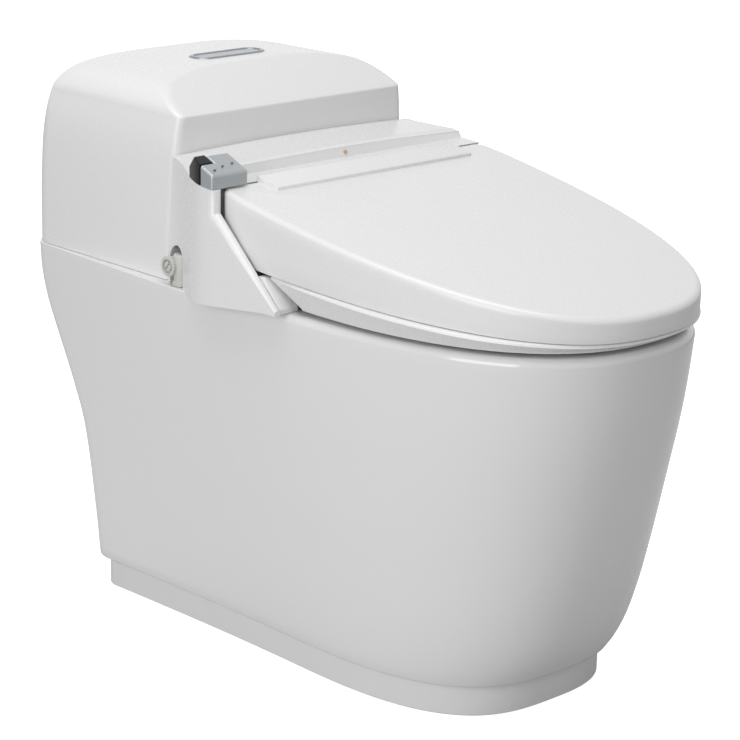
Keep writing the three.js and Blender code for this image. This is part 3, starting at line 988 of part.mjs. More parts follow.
piece('seat_ring', cut(joined(seatShape(), armAt(1), armAt(-1)), seatHole, pinBore, seatRelief), 'plastic', seatGroup);
const FEET = [
  ['seat_foot_right', -FOOT_X, FOOT_Y], ['seat_foot_left', FOOT_X, FOOT_Y],
  ['seat_foot_front_right', -FOOT_FRONT_X, FOOT_FRONT_Y], ['seat_foot_front_left', FOOT_FRONT_X, FOOT_FRONT_Y],
];
for (const [name, x, y] of FEET) piece(name, rod(FOOT_R, RIM_Z + GAP, SEAT_LOW - GAP, x, -y), 'rubber', seatGroup);

// lid
function lidShape(inset) {
  const base = inset ? drawnIn(lidPlan, inset) : lidPlan;
  const top = (drop) => (p) => crestAt(p) - drop - inset;
  const middle = -mix(LID_TAIL, LID_NOSE, 0.45);
  const toward = (share) => drawnIn(base, CREST_IN).map((p) => new THREE.Vector2(p.x * share, middle + (p.y - middle) * share));
  const rings = [
    ringAt(base, (p) => (inset ? SEAT_LOW : seamAt(p))),
    ringAt(base, (p) => mix(seamAt(p), crestAt(p), 0.4) - inset * 0.4),
    ringAt(drawnIn(base, CREST_IN * 0.18), top(CREST_FALL)), ringAt(drawnIn(base, CREST_IN * 0.5), top(CREST_FALL * 0.4)), ringAt(drawnIn(base, CREST_IN), top(0)),
  ];
  for (const [share, riseShare] of [[0.86, 0.3], [0.66, 0.62], [0.42, 0.86], [0.18, 1]]) {
    rings.push(ringAt(toward(share), (p) => crestAt(p) - inset + LID_CROWN * riseShare));
  }
  return loft(rings);
}
const notch = prismX([
  [-LID_TAIL + OVER, LID_NOTCH_Z], [-LID_TAIL, LID_NOTCH_Z], [-LID_NOTCH_Y, LID_NOTCH_LOW], [-LID_HEM_Y, LID_NOTCH_LOW - HEM_FALL],
  [-LID_HEM_Y, SEAT_LOW], [-LID_TAIL + OVER, SEAT_LOW],
], -LID_HALF - OVER, LID_HALF + OVER);
const lugAt = (s) => prismX([
  ...arc(-HINGE_Y, HINGE_Z, LUG_R, 180, 360, 10), [-HINGE_Y + LUG_R, crestAt({ y: -HINGE_Y }) - LID_WALL / 2],
  [-HINGE_Y - LUG_R * 2, crestAt({ y: -HINGE_Y - LUG_R * 2 }) - LID_WALL / 2],
], Math.min(s * LID_LUG_IN, s * (LID_LUG_IN + ARM_THICK)), Math.max(s * LID_LUG_IN, s * (LID_LUG_IN + ARM_THICK)));
const stripSide = (y) => crestAt({ y: -y });
const strip = prismX([
  [-STRIP_BACK, stripSide(STRIP_BACK) - LID_WALL / 3], [-STRIP_BACK, stripSide(STRIP_BACK) + LID_CROWN / 2 + STRIP_BACK_H],
  [-STRIP_FRONT + STRIP_H, stripSide(STRIP_FRONT) + LID_CROWN / 2 + STRIP_H * 1.2],
  [-STRIP_FRONT, stripSide(STRIP_FRONT) + LID_CROWN / 2 + STRIP_H * 0.8], [-STRIP_FRONT, stripSide(STRIP_FRONT) - LID_WALL / 3],
], -STRIP_HALF, STRIP_HALF);
const PAD_OUT = 14;
const PAD_REACH = 40;
const PAD_X = HOLE_HALF + PAD_OUT;
const PAD_Y = FOOT_Y + PAD_REACH;
const PAD_R = 6;
const PAD_H = 3.4;
const padLow = seamAt({ y: -PAD_Y });
const padAt = (s) => rod(PAD_R + LID_WALL / 3, padLow + PAD_H + GAP, crestAt({ y: -PAD_Y }) - LID_WALL / 2, s * PAD_X, -PAD_Y);
piece('lid', cut(joined(cut(lidShape(0), lidShape(LID_WALL)), strip, lugAt(1), lugAt(-1), padAt(1), padAt(-1)),
  notch, pinBore), 'plastic', lidGroup);
for (const [name, s] of [['lid_pad_right', -1], ['lid_pad_left', 1]]) {
  piece(name, rod(PAD_R, padLow + GAP - SEAM_GAP / 2, padLow + PAD_H, s * PAD_X, -PAD_Y), 'rubber', lidGroup);
}

// the origin moves from the back plane to the middle of the footprint, on the floor
root.position.y = LID_NOSE / 2;

export default root;
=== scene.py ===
"""Smart toilet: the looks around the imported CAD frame.
Sizes are in millimetres, measured from the back plane of the toilet (d), from its middle (x) and
from the floor (z), and turned into the frame's metres where a mesh is made."""
import json
import math

import bmesh
import bpy
import numpy as np
from mathutils import Matrix, Vector


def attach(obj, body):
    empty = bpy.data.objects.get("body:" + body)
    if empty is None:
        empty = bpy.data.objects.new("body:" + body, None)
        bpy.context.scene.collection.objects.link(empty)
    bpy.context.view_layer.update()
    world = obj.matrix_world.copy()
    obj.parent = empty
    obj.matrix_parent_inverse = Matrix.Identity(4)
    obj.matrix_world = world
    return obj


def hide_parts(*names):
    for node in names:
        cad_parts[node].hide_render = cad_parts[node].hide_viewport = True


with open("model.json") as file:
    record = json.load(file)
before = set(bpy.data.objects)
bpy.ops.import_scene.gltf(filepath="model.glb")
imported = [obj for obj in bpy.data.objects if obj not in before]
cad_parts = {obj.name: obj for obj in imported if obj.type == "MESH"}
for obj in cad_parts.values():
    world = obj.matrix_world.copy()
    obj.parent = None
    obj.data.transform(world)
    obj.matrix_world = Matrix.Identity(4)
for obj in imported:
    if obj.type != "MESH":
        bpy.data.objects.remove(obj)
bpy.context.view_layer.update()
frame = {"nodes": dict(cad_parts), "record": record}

MM = 0.001
BACK = 373.5          # the back plane's distance from the origin

# the photograph's camera, fitted to the outlines of the toilet
IMAGE = 740
FOCAL_PX = 2400.66
AXIS_PX = (207.1, 422.9)
SENSOR = 36.0
EYE = (-1.6260, -1.7170, 0.9777)
AZIMUTH, ELEVATION = -39.368, 17.872

# ceramic body
DECK, RIM = 368.0, 378.0
RAMP = (330.0, 425.0)
NOSE, HALF, BACK_HALF, BODY_MID = 741.0, 176.0, 161.0, 415.0
FOOT_NOSE, FOOT_HALF, FOOT_BACK_HALF, FOOT_BACK = 652.0, 150.0, 160.0, 100.0
PLINTH, PLINTH_IN = 34.0, 11.0
BACK_CORNER = 30.0
CHINA, SLAB = 14.0, 338.0      # wall of the casting, and the underside of its deck

# hinge line and seams
HINGE_D, HINGE_Z = 390.0, 456.0
LID_NOSE, LID_HALF, LID_BACK_HALF, LID_MID, LID_TAIL = 747.0, 181.0, 179.0, 389.0, 344.0
SEAM, SEAM_RISE = 392.0, 0.063
CREST, CREST_RISE, CREST_IN = 22.0, 0.175, 6.5
SEAT_LOW = 382.0

# hood: rows of height, then half width, back edge and back corner, as shares of its half width
# and depth; first up to the visor, then from the visor to the flat top
HOOD_HALF, HOOD_DEPTH, VISOR, VISOR_Z, HOOD_TOP = 160.0, 241.0, 251.0, 535.0, 570.0
HOOD_FRONT_CORNER, HOOD_FACET, HOOD_WALL = 9.0, 65.0, 3.5
HOOD_WALLS = [(0, 1, 0, 0.21), (0.49, 0.994, 0.002, 0.215), (0.79, 0.978, 0.012, 0.225),
              (0.92, 0.963, 0.023, 0.24), (1, 0.95, 0.037, 0.25)]
HOOD_SHOULDERS = [(0.05, 0.949, 0.04, 0.25), (0.17, 0.943, 0.046, 0.26), (0.37, 0.919, 0.062, 0.28),
                  (0.57, 0.875, 0.083, 0.3), (0.765, 0.781, 0.12, 0.325), (0.89, 0.638, 0.166, 0.325),
                  (0.96, 0.5, 0.216, 0.3), (1, 0.362, 0.274, 0.275)]
BUTTON_D = 142.0


# small helpers

def point(x, d, z):
    return Vector((x * MM, (BACK - d) * MM, z * MM))


def mix(a, b, t):
    return a + (b - a) * t


def ease(t):
    t = min(max(t, 0.0), 1.0)
    return t * t * (3 - 2 * t)


def arc(cu, cv, r, a0, a1, n):
    return [(cu + r * math.cos(math.radians(mix(a0, a1, i / n))),
             cv + r * math.sin(math.radians(mix(a0, a1, i / n)))) for i in range(n + 1)]


def curve_through(table, at):
    """Rows of a table joined by smooth curves over its first column, at so many or at given places."""
    rows = np.array(table, float)
    u = rows[:, 0]
    slope = np.gradient(rows, u, axis=0)
    out = []
    for v in (np.linspace(u[0], u[-1], at) if isinstance(at, int) else at):
        k = min(max(int(np.searchsorted(u, v)) - 1, 0), len(u) - 2)
        h = u[k + 1] - u[k]
        t = (v - u[k]) / h
        out.append((2 * t**3 - 3 * t**2 + 1) * rows[k] + (t**3 - 2 * t**2 + t) * h * slope[k]
                   + (-2 * t**3 + 3 * t**2) * rows[k + 1] + (t**3 - t**2) * h * slope[k + 1])
        out[-1][0] = v
    return out


def drawn_in(outline, amount):
    """A closed outline of (x, d) drawn in by a distance along its own normals."""
    p = np.array(outline, float)
    before, after = np.roll(p, 1, 0), np.roll(p, -1, 0)
    area = np.sum(before[:, 0] * p[:, 1] - p[:, 0] * before[:, 1])
    t = after - before
    t /= np.linalg.norm(t, axis=1)[:, None]
    n = np.stack([-t[:, 1], t[:, 0]], 1) * (1 if area > 0 else -1)
    return [tuple(v) for v in p + n * amount]


def edit(obj):
    bpy.ops.object.select_all(action="DESELECT")
    obj.select_set(True)
    bpy.context.view_layer.objects.active = obj
    bpy.ops.object.mode_set(mode="EDIT")
    bpy.ops.mesh.select_mode(type="VERT")
    bpy.ops.mesh.select_all(action="DESELECT")


def edit_done():
    bpy.ops.object.mode_set(mode="OBJECT")


def choose(obj, ring, points=None):
    """Selects the ring's vertices and, where points are given, moves each one to its point."""
    bm = bmesh.from_edit_mesh(obj.data)
    bm.verts.ensure_lookup_table()
    for k, index in enumerate(ring):
        if points is not None:
            bm.verts[index].co = points[k]
        bm.verts[index].select_set(True)
    bm.select_flush(True)
    bmesh.update_edit_mesh(obj.data)


def loft(name, loops, closed=False):
    """A circle is pulled along by extruding its open edge; each new loop is set to its outline. The ends
    are capped, or joined to each other where the loft is closed."""
    count = len(loops[0])
    bpy.ops.object.select_all(action="DESELECT")
    bpy.ops.mesh.primitive_circle_add(vertices=count, radius=0.1)
    obj = bpy.context.object
    obj.name = obj.data.name = name
    edit(obj)
    start = ring = list(range(count))
    choose(obj, ring, loops[0])
    for loop in loops[1:]:
        bpy.ops.mesh.extrude_region_move()
        bm = bmesh.from_edit_mesh(obj.data)
        bm.verts.ensure_lookup_table()
        ring = [next(e.other_vert(bm.verts[i]).index for e in bm.verts[i].link_edges
                     if e.other_vert(bm.verts[i]).select) for i in ring]
        choose(obj, ring, loop)
    if closed:
        choose(obj, start)
        bpy.ops.mesh.bridge_edge_loops()
    else:
        bpy.ops.mesh.edge_face_add()
        bpy.ops.mesh.select_all(action="DESELECT")
        choose(obj, start)
        bpy.ops.mesh.edge_face_add()
    bpy.ops.mesh.select_all(action="SELECT")
    bpy.ops.mesh.normals_make_consistent(inside=False)
    edit_done()
    return obj


def prism(name, outline, across, low, high):
    """A closed outline pulled straight across: "x" takes (d, z), "z" takes (x, d), "d" takes (x, z)."""
    place = {"x": lambda a, b, t: point(t, a, b), "z": lambda a, b, t: point(a, b, t),
             "d": lambda a, b, t: point(a, t, b)}[across]
    return loft(name, [[place(a, b, t) for a, b in outline] for t in (low, high)])


def carve(obj, tool, operation="DIFFERENCE"):
    step = obj.modifiers.new("carve", "BOOLEAN")
    step.operation, step.solver, step.object = operation, "EXACT", tool
    bpy.context.view_layer.objects.active = obj
    bpy.ops.object.modifier_apply(modifier=step.name)
    bpy.data.objects.remove(tool)
    return obj


def round_edges(obj, width, segments=3, angle=30):
    step = obj.modifiers.new("round", "BEVEL")
    step.width, step.segments, step.limit_method = width * MM, segments, "ANGLE"
    step.angle_limit = math.radians(angle)
    bpy.context.view_layer.objects.active = obj
    bpy.ops.object.modifier_apply(modifier=step.name)
    return obj


def smooth(obj, angle=35):
    bpy.ops.object.select_all(action="DESELECT")
    obj.select_set(True)
    bpy.context.view_layer.objects.active = obj
    bpy.ops.object.shade_smooth_by_angle(angle=math.radians(angle))
    return obj


def even(obj, angle=35):
    """Smooth shading in which the large faces of a carved piece lead."""
    smooth(obj, angle)
    step = obj.modifiers.new("even", "WEIGHTED_NORMAL")
    step.keep_sharp = True
    bpy.ops.object.modifier_apply(modifier=step.name)
    return obj


def merged(name, *objs):
    """Several pieces of one moulding become one object."""
    bpy.ops.object.select_all(action="DESELECT")
    for o in objs:
        o.select_set(True)
    bpy.context.view_layer.objects.active = objs[0]
    bpy.ops.object.join()
    objs[0].name = objs[0].data.name = name
    return objs[0]


def drum(name, r, a, b, sides=48):
    """A round bar between two points."""
    bpy.ops.object.select_all(action="DESELECT")
    bpy.ops.mesh.primitive_cylinder_add(vertices=sides, radius=r * MM, depth=(b - a).length)
    obj = bpy.context.object
    obj.name = obj.data.name = name
    obj.rotation_mode = "QUATERNION"
    obj.rotation_quaternion = (b - a).to_track_quat("Z", "Y")
    obj.location = (a + b) / 2
    bpy.ops.object.transform_apply(location=True, rotation=True, scale=True)
    return obj


# finishes

def linear(code):
    channels = [int(code[i:i + 2], 16) / 255 for i in (1, 3, 5)]
    return [c / 12.92 if c <= 0.04045 else ((c + 0.055) / 1.055) ** 2.4 for c in channels] + [1.0]


def add_node(tree, kind, inputs=None, **settings):
    """Adds a node; an input is a value, or a (node, output) pair to link from."""
    node = tree.nodes.new(kind)
    for key, value in settings.items():
        setattr(node, key, value)
    for key, value in (inputs or {}).items():
        if isinstance(value, tuple) and isinstance(value[0], bpy.types.Node):
            tree.links.new(value[0].outputs[value[1]], node.inputs[key])
        else:
            node.inputs[key].default_value = value
    return node


def material(name, colour, roughness, grain, rough_swing, bump, shade=0.03, wave=None, **shader):
    """A finish with its grain in millimetres: the grain moves the roughness, tints the colour and
    lifts the surface a little, and an optional slow wave does so on a larger scale."""
    mat = bpy.data.materials.new(name)
    mat.use_nodes = True
    tree = mat.node_tree
    tree.nodes.clear()
    place = add_node(tree, "ShaderNodeTexCoord")
    fine = add_node(tree, "ShaderNodeTexNoise", {"Vector": (place, "Object"), "Scale": 1000 / grain,
                                                 "Detail": 4.0, "Roughness": 0.55})
    slow = add_node(tree, "ShaderNodeTexNoise", {"Vector": (place, "Object"),
                                                 "Scale": 1000 / (wave or 12 * grain), "Detail": 2.0})
    rough = add_node(tree, "ShaderNodeMapRange", {"Value": (fine, "Fac"), "From Min": 0.3, "From Max": 0.7,
                                                  "To Min": roughness - rough_swing,
                                                  "To Max": roughness + rough_swing})
    dark = [c * (1 - shade) for c in linear(colour)[:3]] + [1.0]
    tint = add_node(tree, "ShaderNodeMix", {"Factor": (slow, "Fac"), "A": dark, "B": linear(colour)},
                    data_type="RGBA")
    low = add_node(tree, "ShaderNodeBump", {"Height": (slow, "Fac"), "Strength": bump, "Distance": 0.002})
    high = add_node(tree, "ShaderNodeBump", {"Height": (fine, "Fac"), "Strength": bump, "Distance": 0.0002,
                                             "Normal": (low, "Normal")})
    sockets = {"Base Color": (tint, "Result"), "Roughness": (rough, "Result"), "Normal": (high, "Normal")}
    sockets.update({key.replace("_", " "): value for key, value in shader.items()})
    body = add_node(tree, "ShaderNodeBsdfPrincipled", sockets)
    add_node(tree, "ShaderNodeOutputMaterial", {"Surface": (body, "BSDF")})
    return mat


FINISHES = {
    # vitreous china under a clear fired glaze: white, wet-looking, very slightly wavy
    "ceramic": material("vitreous_china_glazed", "#E6E6E6", 0.12, 3.0, 0.02, 0.012, 0.012, 60.0, IOR=1.52,
                        Coat_Weight=0.35, Coat_Roughness=0.05),
    # injection-moulded ABS with a polished tool: white, a softer gloss than the glaze
    "plastic": material("abs_white_polished", "#E9E9E9", 0.26, 1.2, 0.03, 0.01, 0.01, 45.0, IOR=1.53),
    "inner": material("polypropylene_natural", "#D4D5D6", 0.5, 1.5, 0.05, 0.12, 0.03, IOR=1.49),
    "clear": material("polypropylene_milky", "#CDD2D6", 0.38, 1.5, 0.05, 0.08, 0.03, IOR=1.49,
                      Subsurface_Weight=0.2, Subsurface_Radius=(0.01, 0.01, 0.01)),
    # ABS plated with dark chrome
    "chrome": material("dark_chrome_plated", "#8D9196", 0.16, 0.8, 0.03, 0.02, 0.04, Metallic=1.0),
    # ABS under a silver metallic paint with fine flake
    "silver": material("silver_metallic_paint", "#A9ADB0", 0.36, 0.5, 0.06, 0.05, 0.05, Metallic=0.6,
                       Coat_Weight=0.25, Coat_Roughness=0.12),
    # smoked acrylic over an infrared sensor
    "black": material("smoked_acrylic", "#0C0D0F", 0.1, 1.0, 0.02, 0.01, 0.05, IOR=1.49,
                      Specular_IOR_Level=0.2),
    "rubber": material("nitrile_rubber", "#3B3C3D", 0.75, 0.8, 0.06, 0.2, 0.08, IOR=1.52),
    # acetal copolymer, moulded, a little warm beside the white shells
    "grey": material("acetal_moulded", "#CDCDC8", 0.36, 1.0, 0.05, 0.08, 0.04, IOR=1.48),
    "amber": material("amber_polycarbonate", "#DFC08E", 0.25, 0.8, 0.03, 0.03, 0.05, IOR=1.58,
                      Transmission_Weight=0.25),
    "green": material("conformal_coated_board", "#2E4A38", 0.4, 0.9, 0.08, 0.2, 0.2, IOR=1.5),
    "steel": material("stainless_turned", "#A3A5A6", 0.3, 0.6, 0.06, 0.06, 0.05, Metallic=1.0),
    "dark": material("pbt_grey", "#4B4E51", 0.5, 1.2, 0.06, 0.12, 0.06, IOR=1.55),
    "lamp": material("lamp_lens_grey", "#6E777C", 0.3, 0.5, 0.04, 0.02, 0.05, IOR=1.5),
}

record = frame["record"]
for entry in record["subparts"]:
    slots = frame["nodes"][entry["node"]].data.materials
    slots.clear()
    slots.append(FINISHES[entry["material_slot"]])
body_of = {node: body for body, nodes in record["behaviour"]["bodies"].items() for node in nodes}


def stands_for(obj, *nodes):
    """The piece takes its node's finish, rides on its body and replaces it."""
    slot = next(e["material_slot"] for e in record["subparts"] if e["node"] == nodes[0])
    obj.data.materials.clear()
    obj.data.materials.append(FINISHES[slot])
    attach(obj, body_of[nodes[0]])
    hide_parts(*nodes)
    return obj


# plan outlines

BACK_N, CORNER_N, SIDE_N, NOSE_N = 12, 8, 12, 48


def plan(back, mid, nose, half, back_half, corner, full):
    """Seen from above: a straight back with round corners, sides that ease from the back's half
    width to the full one, and a rounded nose. Runs round from the middle of the back."""
    right = [(i / BACK_N * (back_half - corner), back) for i in range(BACK_N)]
    right += [(back_half - corner + corner * math.sin(a), back + corner - corner * math.cos(a))
              for a in np.linspace(0, math.pi / 2, CORNER_N + 1)]
    right += [(back_half + (half - back_half) * math.sin(s * math.pi / 2),
               back + corner + (mid - back - corner) * s) for s in np.arange(1, SIDE_N) / SIDE_N]
    for a in np.linspace(0, math.pi / 2, NOSE_N + 1):
        right.append((half * abs(math.cos(a)) ** (2 / full),
                      mid + (nose - mid) * math.sin(a) ** (2 / full)))
    right[-1] = (0.0, nose)
    return right + [(-x, d) for x, d in right[-2:0:-1]]


def facing(outline, centre, ring_xd):
    """Points of a closed ring of (x, d), one in the direction of each point of the outline."""
    angle = [math.atan2(d - centre[1], x - centre[0]) for x, d in outline]
    r = np.array(ring_xd) - np.array(centre)
    a = np.unwrap(np.arctan2(r[:, 1], r[:, 0]))
    order = np.argsort(a)
    a, r = a[order], r[order]
    a = np.concatenate([a - 2 * math.pi, a, a + 2 * math.pi])
    r = np.concatenate([r, r, r])
    return [(centre[0] + np.interp(t, a, r[:, 0]), centre[1] + np.interp(t, a, r[:, 1])) for t in angle]


def deck_at(d):
    return mix(DECK, RIM, min(max((d - RAMP[0]) / (RAMP[1] - RAMP[0]), 0), 1))


# ceramic body: one skin up the skirt, over the rim and down into the bowl, then hollowed from below

SKIRT = [(0, 0, 0, 0), (0.02, 0.06, 0.05, 0.01), (0.09, 0.22, 0.18, 0.04), (0.2, 0.38, 0.34, 0.1),
         (0.33, 0.52, 0.48, 0.18), (0.44, 0.62, 0.6, 0.28), (0.53, 0.7, 0.68, 0.42),
         (0.62, 0.78, 0.76, 0.58),
         (0.7, 0.85, 0.83, 0.73), (0.78, 0.91, 0.89, 0.87), (0.87, 0.96, 0.95, 0.97), (0.96, 1, 1, 1)]
BOWL = [(0, 1, 0, 1), (0.1, 0.985, 0.01, 0.985), (0.24, 0.93, 0.02, 0.95), (0.4, 0.8, 0.05, 0.86),
        (0.56, 0.62, 0.09, 0.73), (0.7, 0.46, 0.13, 0.6), (0.84, 0.34, 0.14, 0.46),
        (0.94, 0.26, 0.15, 0.37), (1, 0.16, 0.18, 0.3)]
BOWL_HALF, BOWL_BACK, BOWL_FRONT, BOWL_FLOOR = 121.0, 420.0, 699.0, 84.0


def skirt_plan(nose_share, half_share, back_share):
    return plan(mix(FOOT_BACK, 0, back_share), BODY_MID, mix(FOOT_NOSE, NOSE, nose_share),
                mix(FOOT_HALF, HALF, half_share), mix(FOOT_BACK_HALF, BACK_HALF, half_share), BACK_CORNER,
                mix(2.9, 2.5, nose_share))


def bowl_plan(half_share, back_share, front_share, grow=0.0):
    length = BOWL_FRONT - BOWL_BACK
    d0, d1 = BOWL_BACK + length * back_share - grow, BOWL_BACK + length * front_share + grow
    half, middle = BOWL_HALF * half_share + grow, mix(d0, d1, 0.44)
    ring = []
    for a in np.linspace(0, 2 * math.pi, 240, endpoint=False):
        c, s = math.cos(a), math.sin(a)
        reach = d1 - middle if s > 0 else middle - d0
        ring.append((half * math.copysign(abs(c) ** (1 if s > 0 else 0.85), c),
                     middle + reach * math.copysign(abs(s) ** 0.9, s)))
    return ring, (0.0, middle)


def body():
    foot, top = skirt_plan(0, 0, 0), skirt_plan(1, 1, 1)
    level = lambda outline, z: [point(x, d, z) for x, d in outline]
    loops = [level(drawn_in(foot, PLINTH_IN + 0.8), 0), level(drawn_in(foot, PLINTH_IN), 0.8),
             level(drawn_in(foot, PLINTH_IN), PLINTH - 0.5), level(drawn_in(foot, PLINTH_IN - 0.5), PLINTH),
             level(drawn_in(foot, 2.4), PLINTH), level(drawn_in(foot, 1.0), PLINTH + 0.5)]
    lip = lambda d: mix(1.0, 8.0, ease((d - 290) / 140))
    for row in curve_through(SKIRT, 34):
        outline = skirt_plan(*row[1:])
        u = row[0] / SKIRT[-1][0]
        loops.append([point(x, d, mix(PLINTH + 2, deck_at(d) - lip(d), u)) for x, d in outline])
    for turn in (15, 30, 45, 60, 75, 90):
        a = math.radians(turn)
        shifts = [drawn_in(top, r * (1 - math.cos(a))) for r in (1.0, 8.0)]
        loops.append([])
        for (x0, d0), (x1, d1), (_, d) in zip(*shifts, top):
            share = (lip(d) - 1) / 7
            loops[-1].append(point(mix(x0, x1, share), mix(d0, d1, share),
                                   deck_at(d) - lip(d) * (1 - math.sin(a))))
    edge = drawn_in(top, 8)
    mouth, centre = bowl_plan(1, 0, 1, 7)
    mouth = facing(top, centre, mouth)
    for share in (0.12, 0.25, 0.38, 0.5, 0.62, 0.75, 0.88, 1.0):
        ring = [(mix(a[0], b[0], share), mix(a[1], b[1], share)) for a, b in zip(edge, mouth)]
        loops.append([point(x, d, deck_at(d)) for x, d in ring])
    for turn in (30, 60, 90):
        a = math.radians(turn)
        ring, _ = bowl_plan(1, 0, 1, 7 * (1 - math.sin(a)))
        loops.append([point(x, d, deck_at(d) - 7 * (1 - math.cos(a)))
                      for x, d in facing(top, centre, ring)])
    for row in curve_through(BOWL, 22)[1:]:
        ring, middle = bowl_plan(*row[1:])
        loops.append(level([(x, d + middle[1] - centre[1]) for x, d in
                            facing(top, centre, [(x, d - middle[1] + centre[1]) for x, d in ring])],
                           mix(RIM - 7, BOWL_FLOOR, row[0])))
    obj = loft("body", loops)
    # the casting is hollow under the deck and round the bowl, and open at its foot
    under = [level(drawn_in(foot, PLINTH_IN + CHINA), z) for z in (-2, PLINTH)]
    for row in curve_through(SKIRT[2:], 20):
        under.append(level(drawn_in(skirt_plan(*row[1:]), CHINA), mix(PLINTH, SLAB, row[0] / SKIRT[-1][0])))
    hollow = loft("hollow", under)
    skin = CHINA * 0.8
    outside = [level(bowl_plan(*row[1:], skin)[0], mix(RIM, BOWL_FLOOR - skin, row[0]))
               for row in curve_through(BOWL, 16)[::-1]]
    carve(hollow, loft("bowl_outside", outside))
    carve(obj, hollow)
    sump = BOWL_BACK + (BOWL_FRONT - BOWL_BACK) * 0.24
    # radius and both ends of each bore: trap, flush duct, flush valve (two steps), fill valve
    bores = [(26, (0, sump, 105), (0, 378, 89)), (22, (0, 470, 306), (0, 380, 306)),
             (22, (0, 80, 330), (0, 80, 360)), (22.6, (0, 80, 354), (0, 80, 372)),
             (7.6, (-92, 120, 330), (-92, 120, 372))]
    for r, a, b in bores:
        carve(obj, drum("bore", r, point(*a), point(*b)))
    return smooth(obj, 40)


stands_for(body(), "bowl_body", "bowl_shell")


# hood over the cistern

def hood_outline(half, front, back, corner, front_corner):
    """One level of the hood: wide round corners at the back, tight ones at the front."""
    return (arc(half - corner, back + corner, corner, -90, 0, 16)
            + arc(half - front_corner, front - front_corner, front_corner, 0, 90, 10)
            + arc(-half + front_corner, front - front_corner, front_corner, 90, 180, 10)
            + arc(-half + corner, back + corner, corner, 180, 270, 16))


def hood():
    table = [(mix(DECK, VISOR_Z, rise), *rest) for rise, *rest in HOOD_WALLS]
    table += [(mix(VISOR_Z, HOOD_TOP, rise), *rest) for rise, *rest in HOOD_SHOULDERS]
    slope = HOOD_FACET / (HOOD_TOP - VISOR_Z)
    lean = (VISOR - HOOD_DEPTH) / (VISOR_Z - DECK)
    # height and front edge of each level: the leaning front, the rounded visor, the sloping front top
    start, end = (VISOR_Z - 1.66, VISOR - 1.66 * lean), (VISOR_Z + 0.79, VISOR - 0.79 * slope)
    levels = [(z, HOOD_DEPTH + (z - DECK) * lean) for z in np.linspace(DECK + 0.8, start[0] - 3, 14)]
    for t in np.linspace(0, 1, 6):
        levels.append(tuple((1 - t) ** 2 * a + 2 * t * (1 - t) * b + t * t * c
                            for a, b, c in zip(start, (VISOR_Z, VISOR), end)))
    for t in np.linspace(0.06, 1, 26):
        z = mix(end[0], HOOD_TOP, math.sin(t * math.pi / 2))
        levels.append((z, VISOR - (z - VISOR_Z) * slope))
    rows = curve_through(table, [z for z, _ in levels])

    def ring(k, inset=0.0, low=None):
        (z, front), (_, half, back, corner) = levels[k], rows[k]
        above = z > VISOR_Z + 1
        side, fore, rear = (0.8, 0.5, 0.6) if above else (1, 1, 1)
        outline = hood_outline(HOOD_HALF * half - inset * side, front - inset * fore,
                               HOOD_DEPTH * back + inset * rear, HOOD_HALF * corner - inset * fore,
                               HOOD_FRONT_CORNER - inset)
        height = low if low is not None else z - (inset if above else inset * 0.6)
        return [point(x, d, height) for x, d in outline]

    last = len(levels) - 1
    loops = [ring(k, HOOD_WALL) for k in range(last, 19, -2)]
    loops += [ring(k, HOOD_WALL) for k in range(13, 0, -3)]
    loops += [ring(0, HOOD_WALL, DECK + 0.3), ring(0, 0.5, DECK + 0.3)]
    loops += [ring(k) for k in range(last + 1)]
    obj = loft("hood", loops)
    carve(obj, prism("button_hole", pill(94.6, 32.6), "z", 540, 590))
    return smooth(obj, 32)


def pill(length, width, n=16):
    r, half = width / 2, (length - width) / 2
    return [(x + half, d) for x, d in arc(0, BUTTON_D, r, -90, 90, n)] + \
           [(x - half, d) for x, d in arc(0, BUTTON_D, r, 90, 270, n)]


stands_for(hood(), "tank_hood")

BEZEL_TOP = HOOD_TOP + 1.4


def bezel():
    loops = []
    profile = [(0, 12), (0, 1.6)]
    profile += [(1.6 - 1.6 * math.cos(a), 1.6 - 1.6 * math.sin(a)) for a in (0.5, 1.05, 1.57)]
    profile += [(3.6, 0), (4.4, 0.3), (4.9, 0.9), (5.0, 1.8), (5.0, 12)]
    for inward, down in profile:
        edge = pill(94 - 2 * inward, 32 - 2 * inward)
        loops.append([point(x, d, BEZEL_TOP - down) for x, d in edge])
    return smooth(loft("bezel", loops, closed=True), 40)


def button():
    profile = [(0.8, 4.0), (0, 3.4), (0, 1.0), (0.35, 0.35), (1.1, 0.05), (5.0, 0.0), (9.0, 0.0)]
    loops = [[point(x, d, BEZEL_TOP - 0.8 - down) for x, d in pill(83.4 - 2 * i, 21.4 - 2 * i)]
             for i, down in profile]
    plate = loft("button", loops)
    stem = [(1.5, 539.6), (5.0, 543.1), (5.0, 568.6)]
    rod = loft("stem", [[point(r * math.cos(a), BUTTON_D + r * math.sin(a), z)
                         for a in np.linspace(0, 2 * math.pi, 24, endpoint=False)] for r, z in stem])
    return smooth(merged("button", plate, rod), 40)


stands_for(bezel(), "button_bezel")
stands_for(button(), "flush_button")


# washer unit's casing between the hood and the lid

SWING = 59.0
WALL_D = HINGE_D - SWING
CASING_TOP, EDGE_D = 501.0, 305.0
CHEEK_IN, CASING_HALF = 184.0, 195.0


def back_of(z):
    return HOOD_DEPTH + (VISOR - HOOD_DEPTH) * (z - DECK) / (VISOR_Z - DECK) + 0.8


def bow(x, z):
    """How much lower the casing is at x than in the middle."""
    return 4.5 * (x / CHEEK_IN) ** 2 * min(max((z - 483.5) / 9.5, 0), 1)


def bowed(name, side, half):
    return loft(name, [[point(x, d, z - bow(x, z)) for d, z in side]
                       for x in np.linspace(-half, half, 33)])


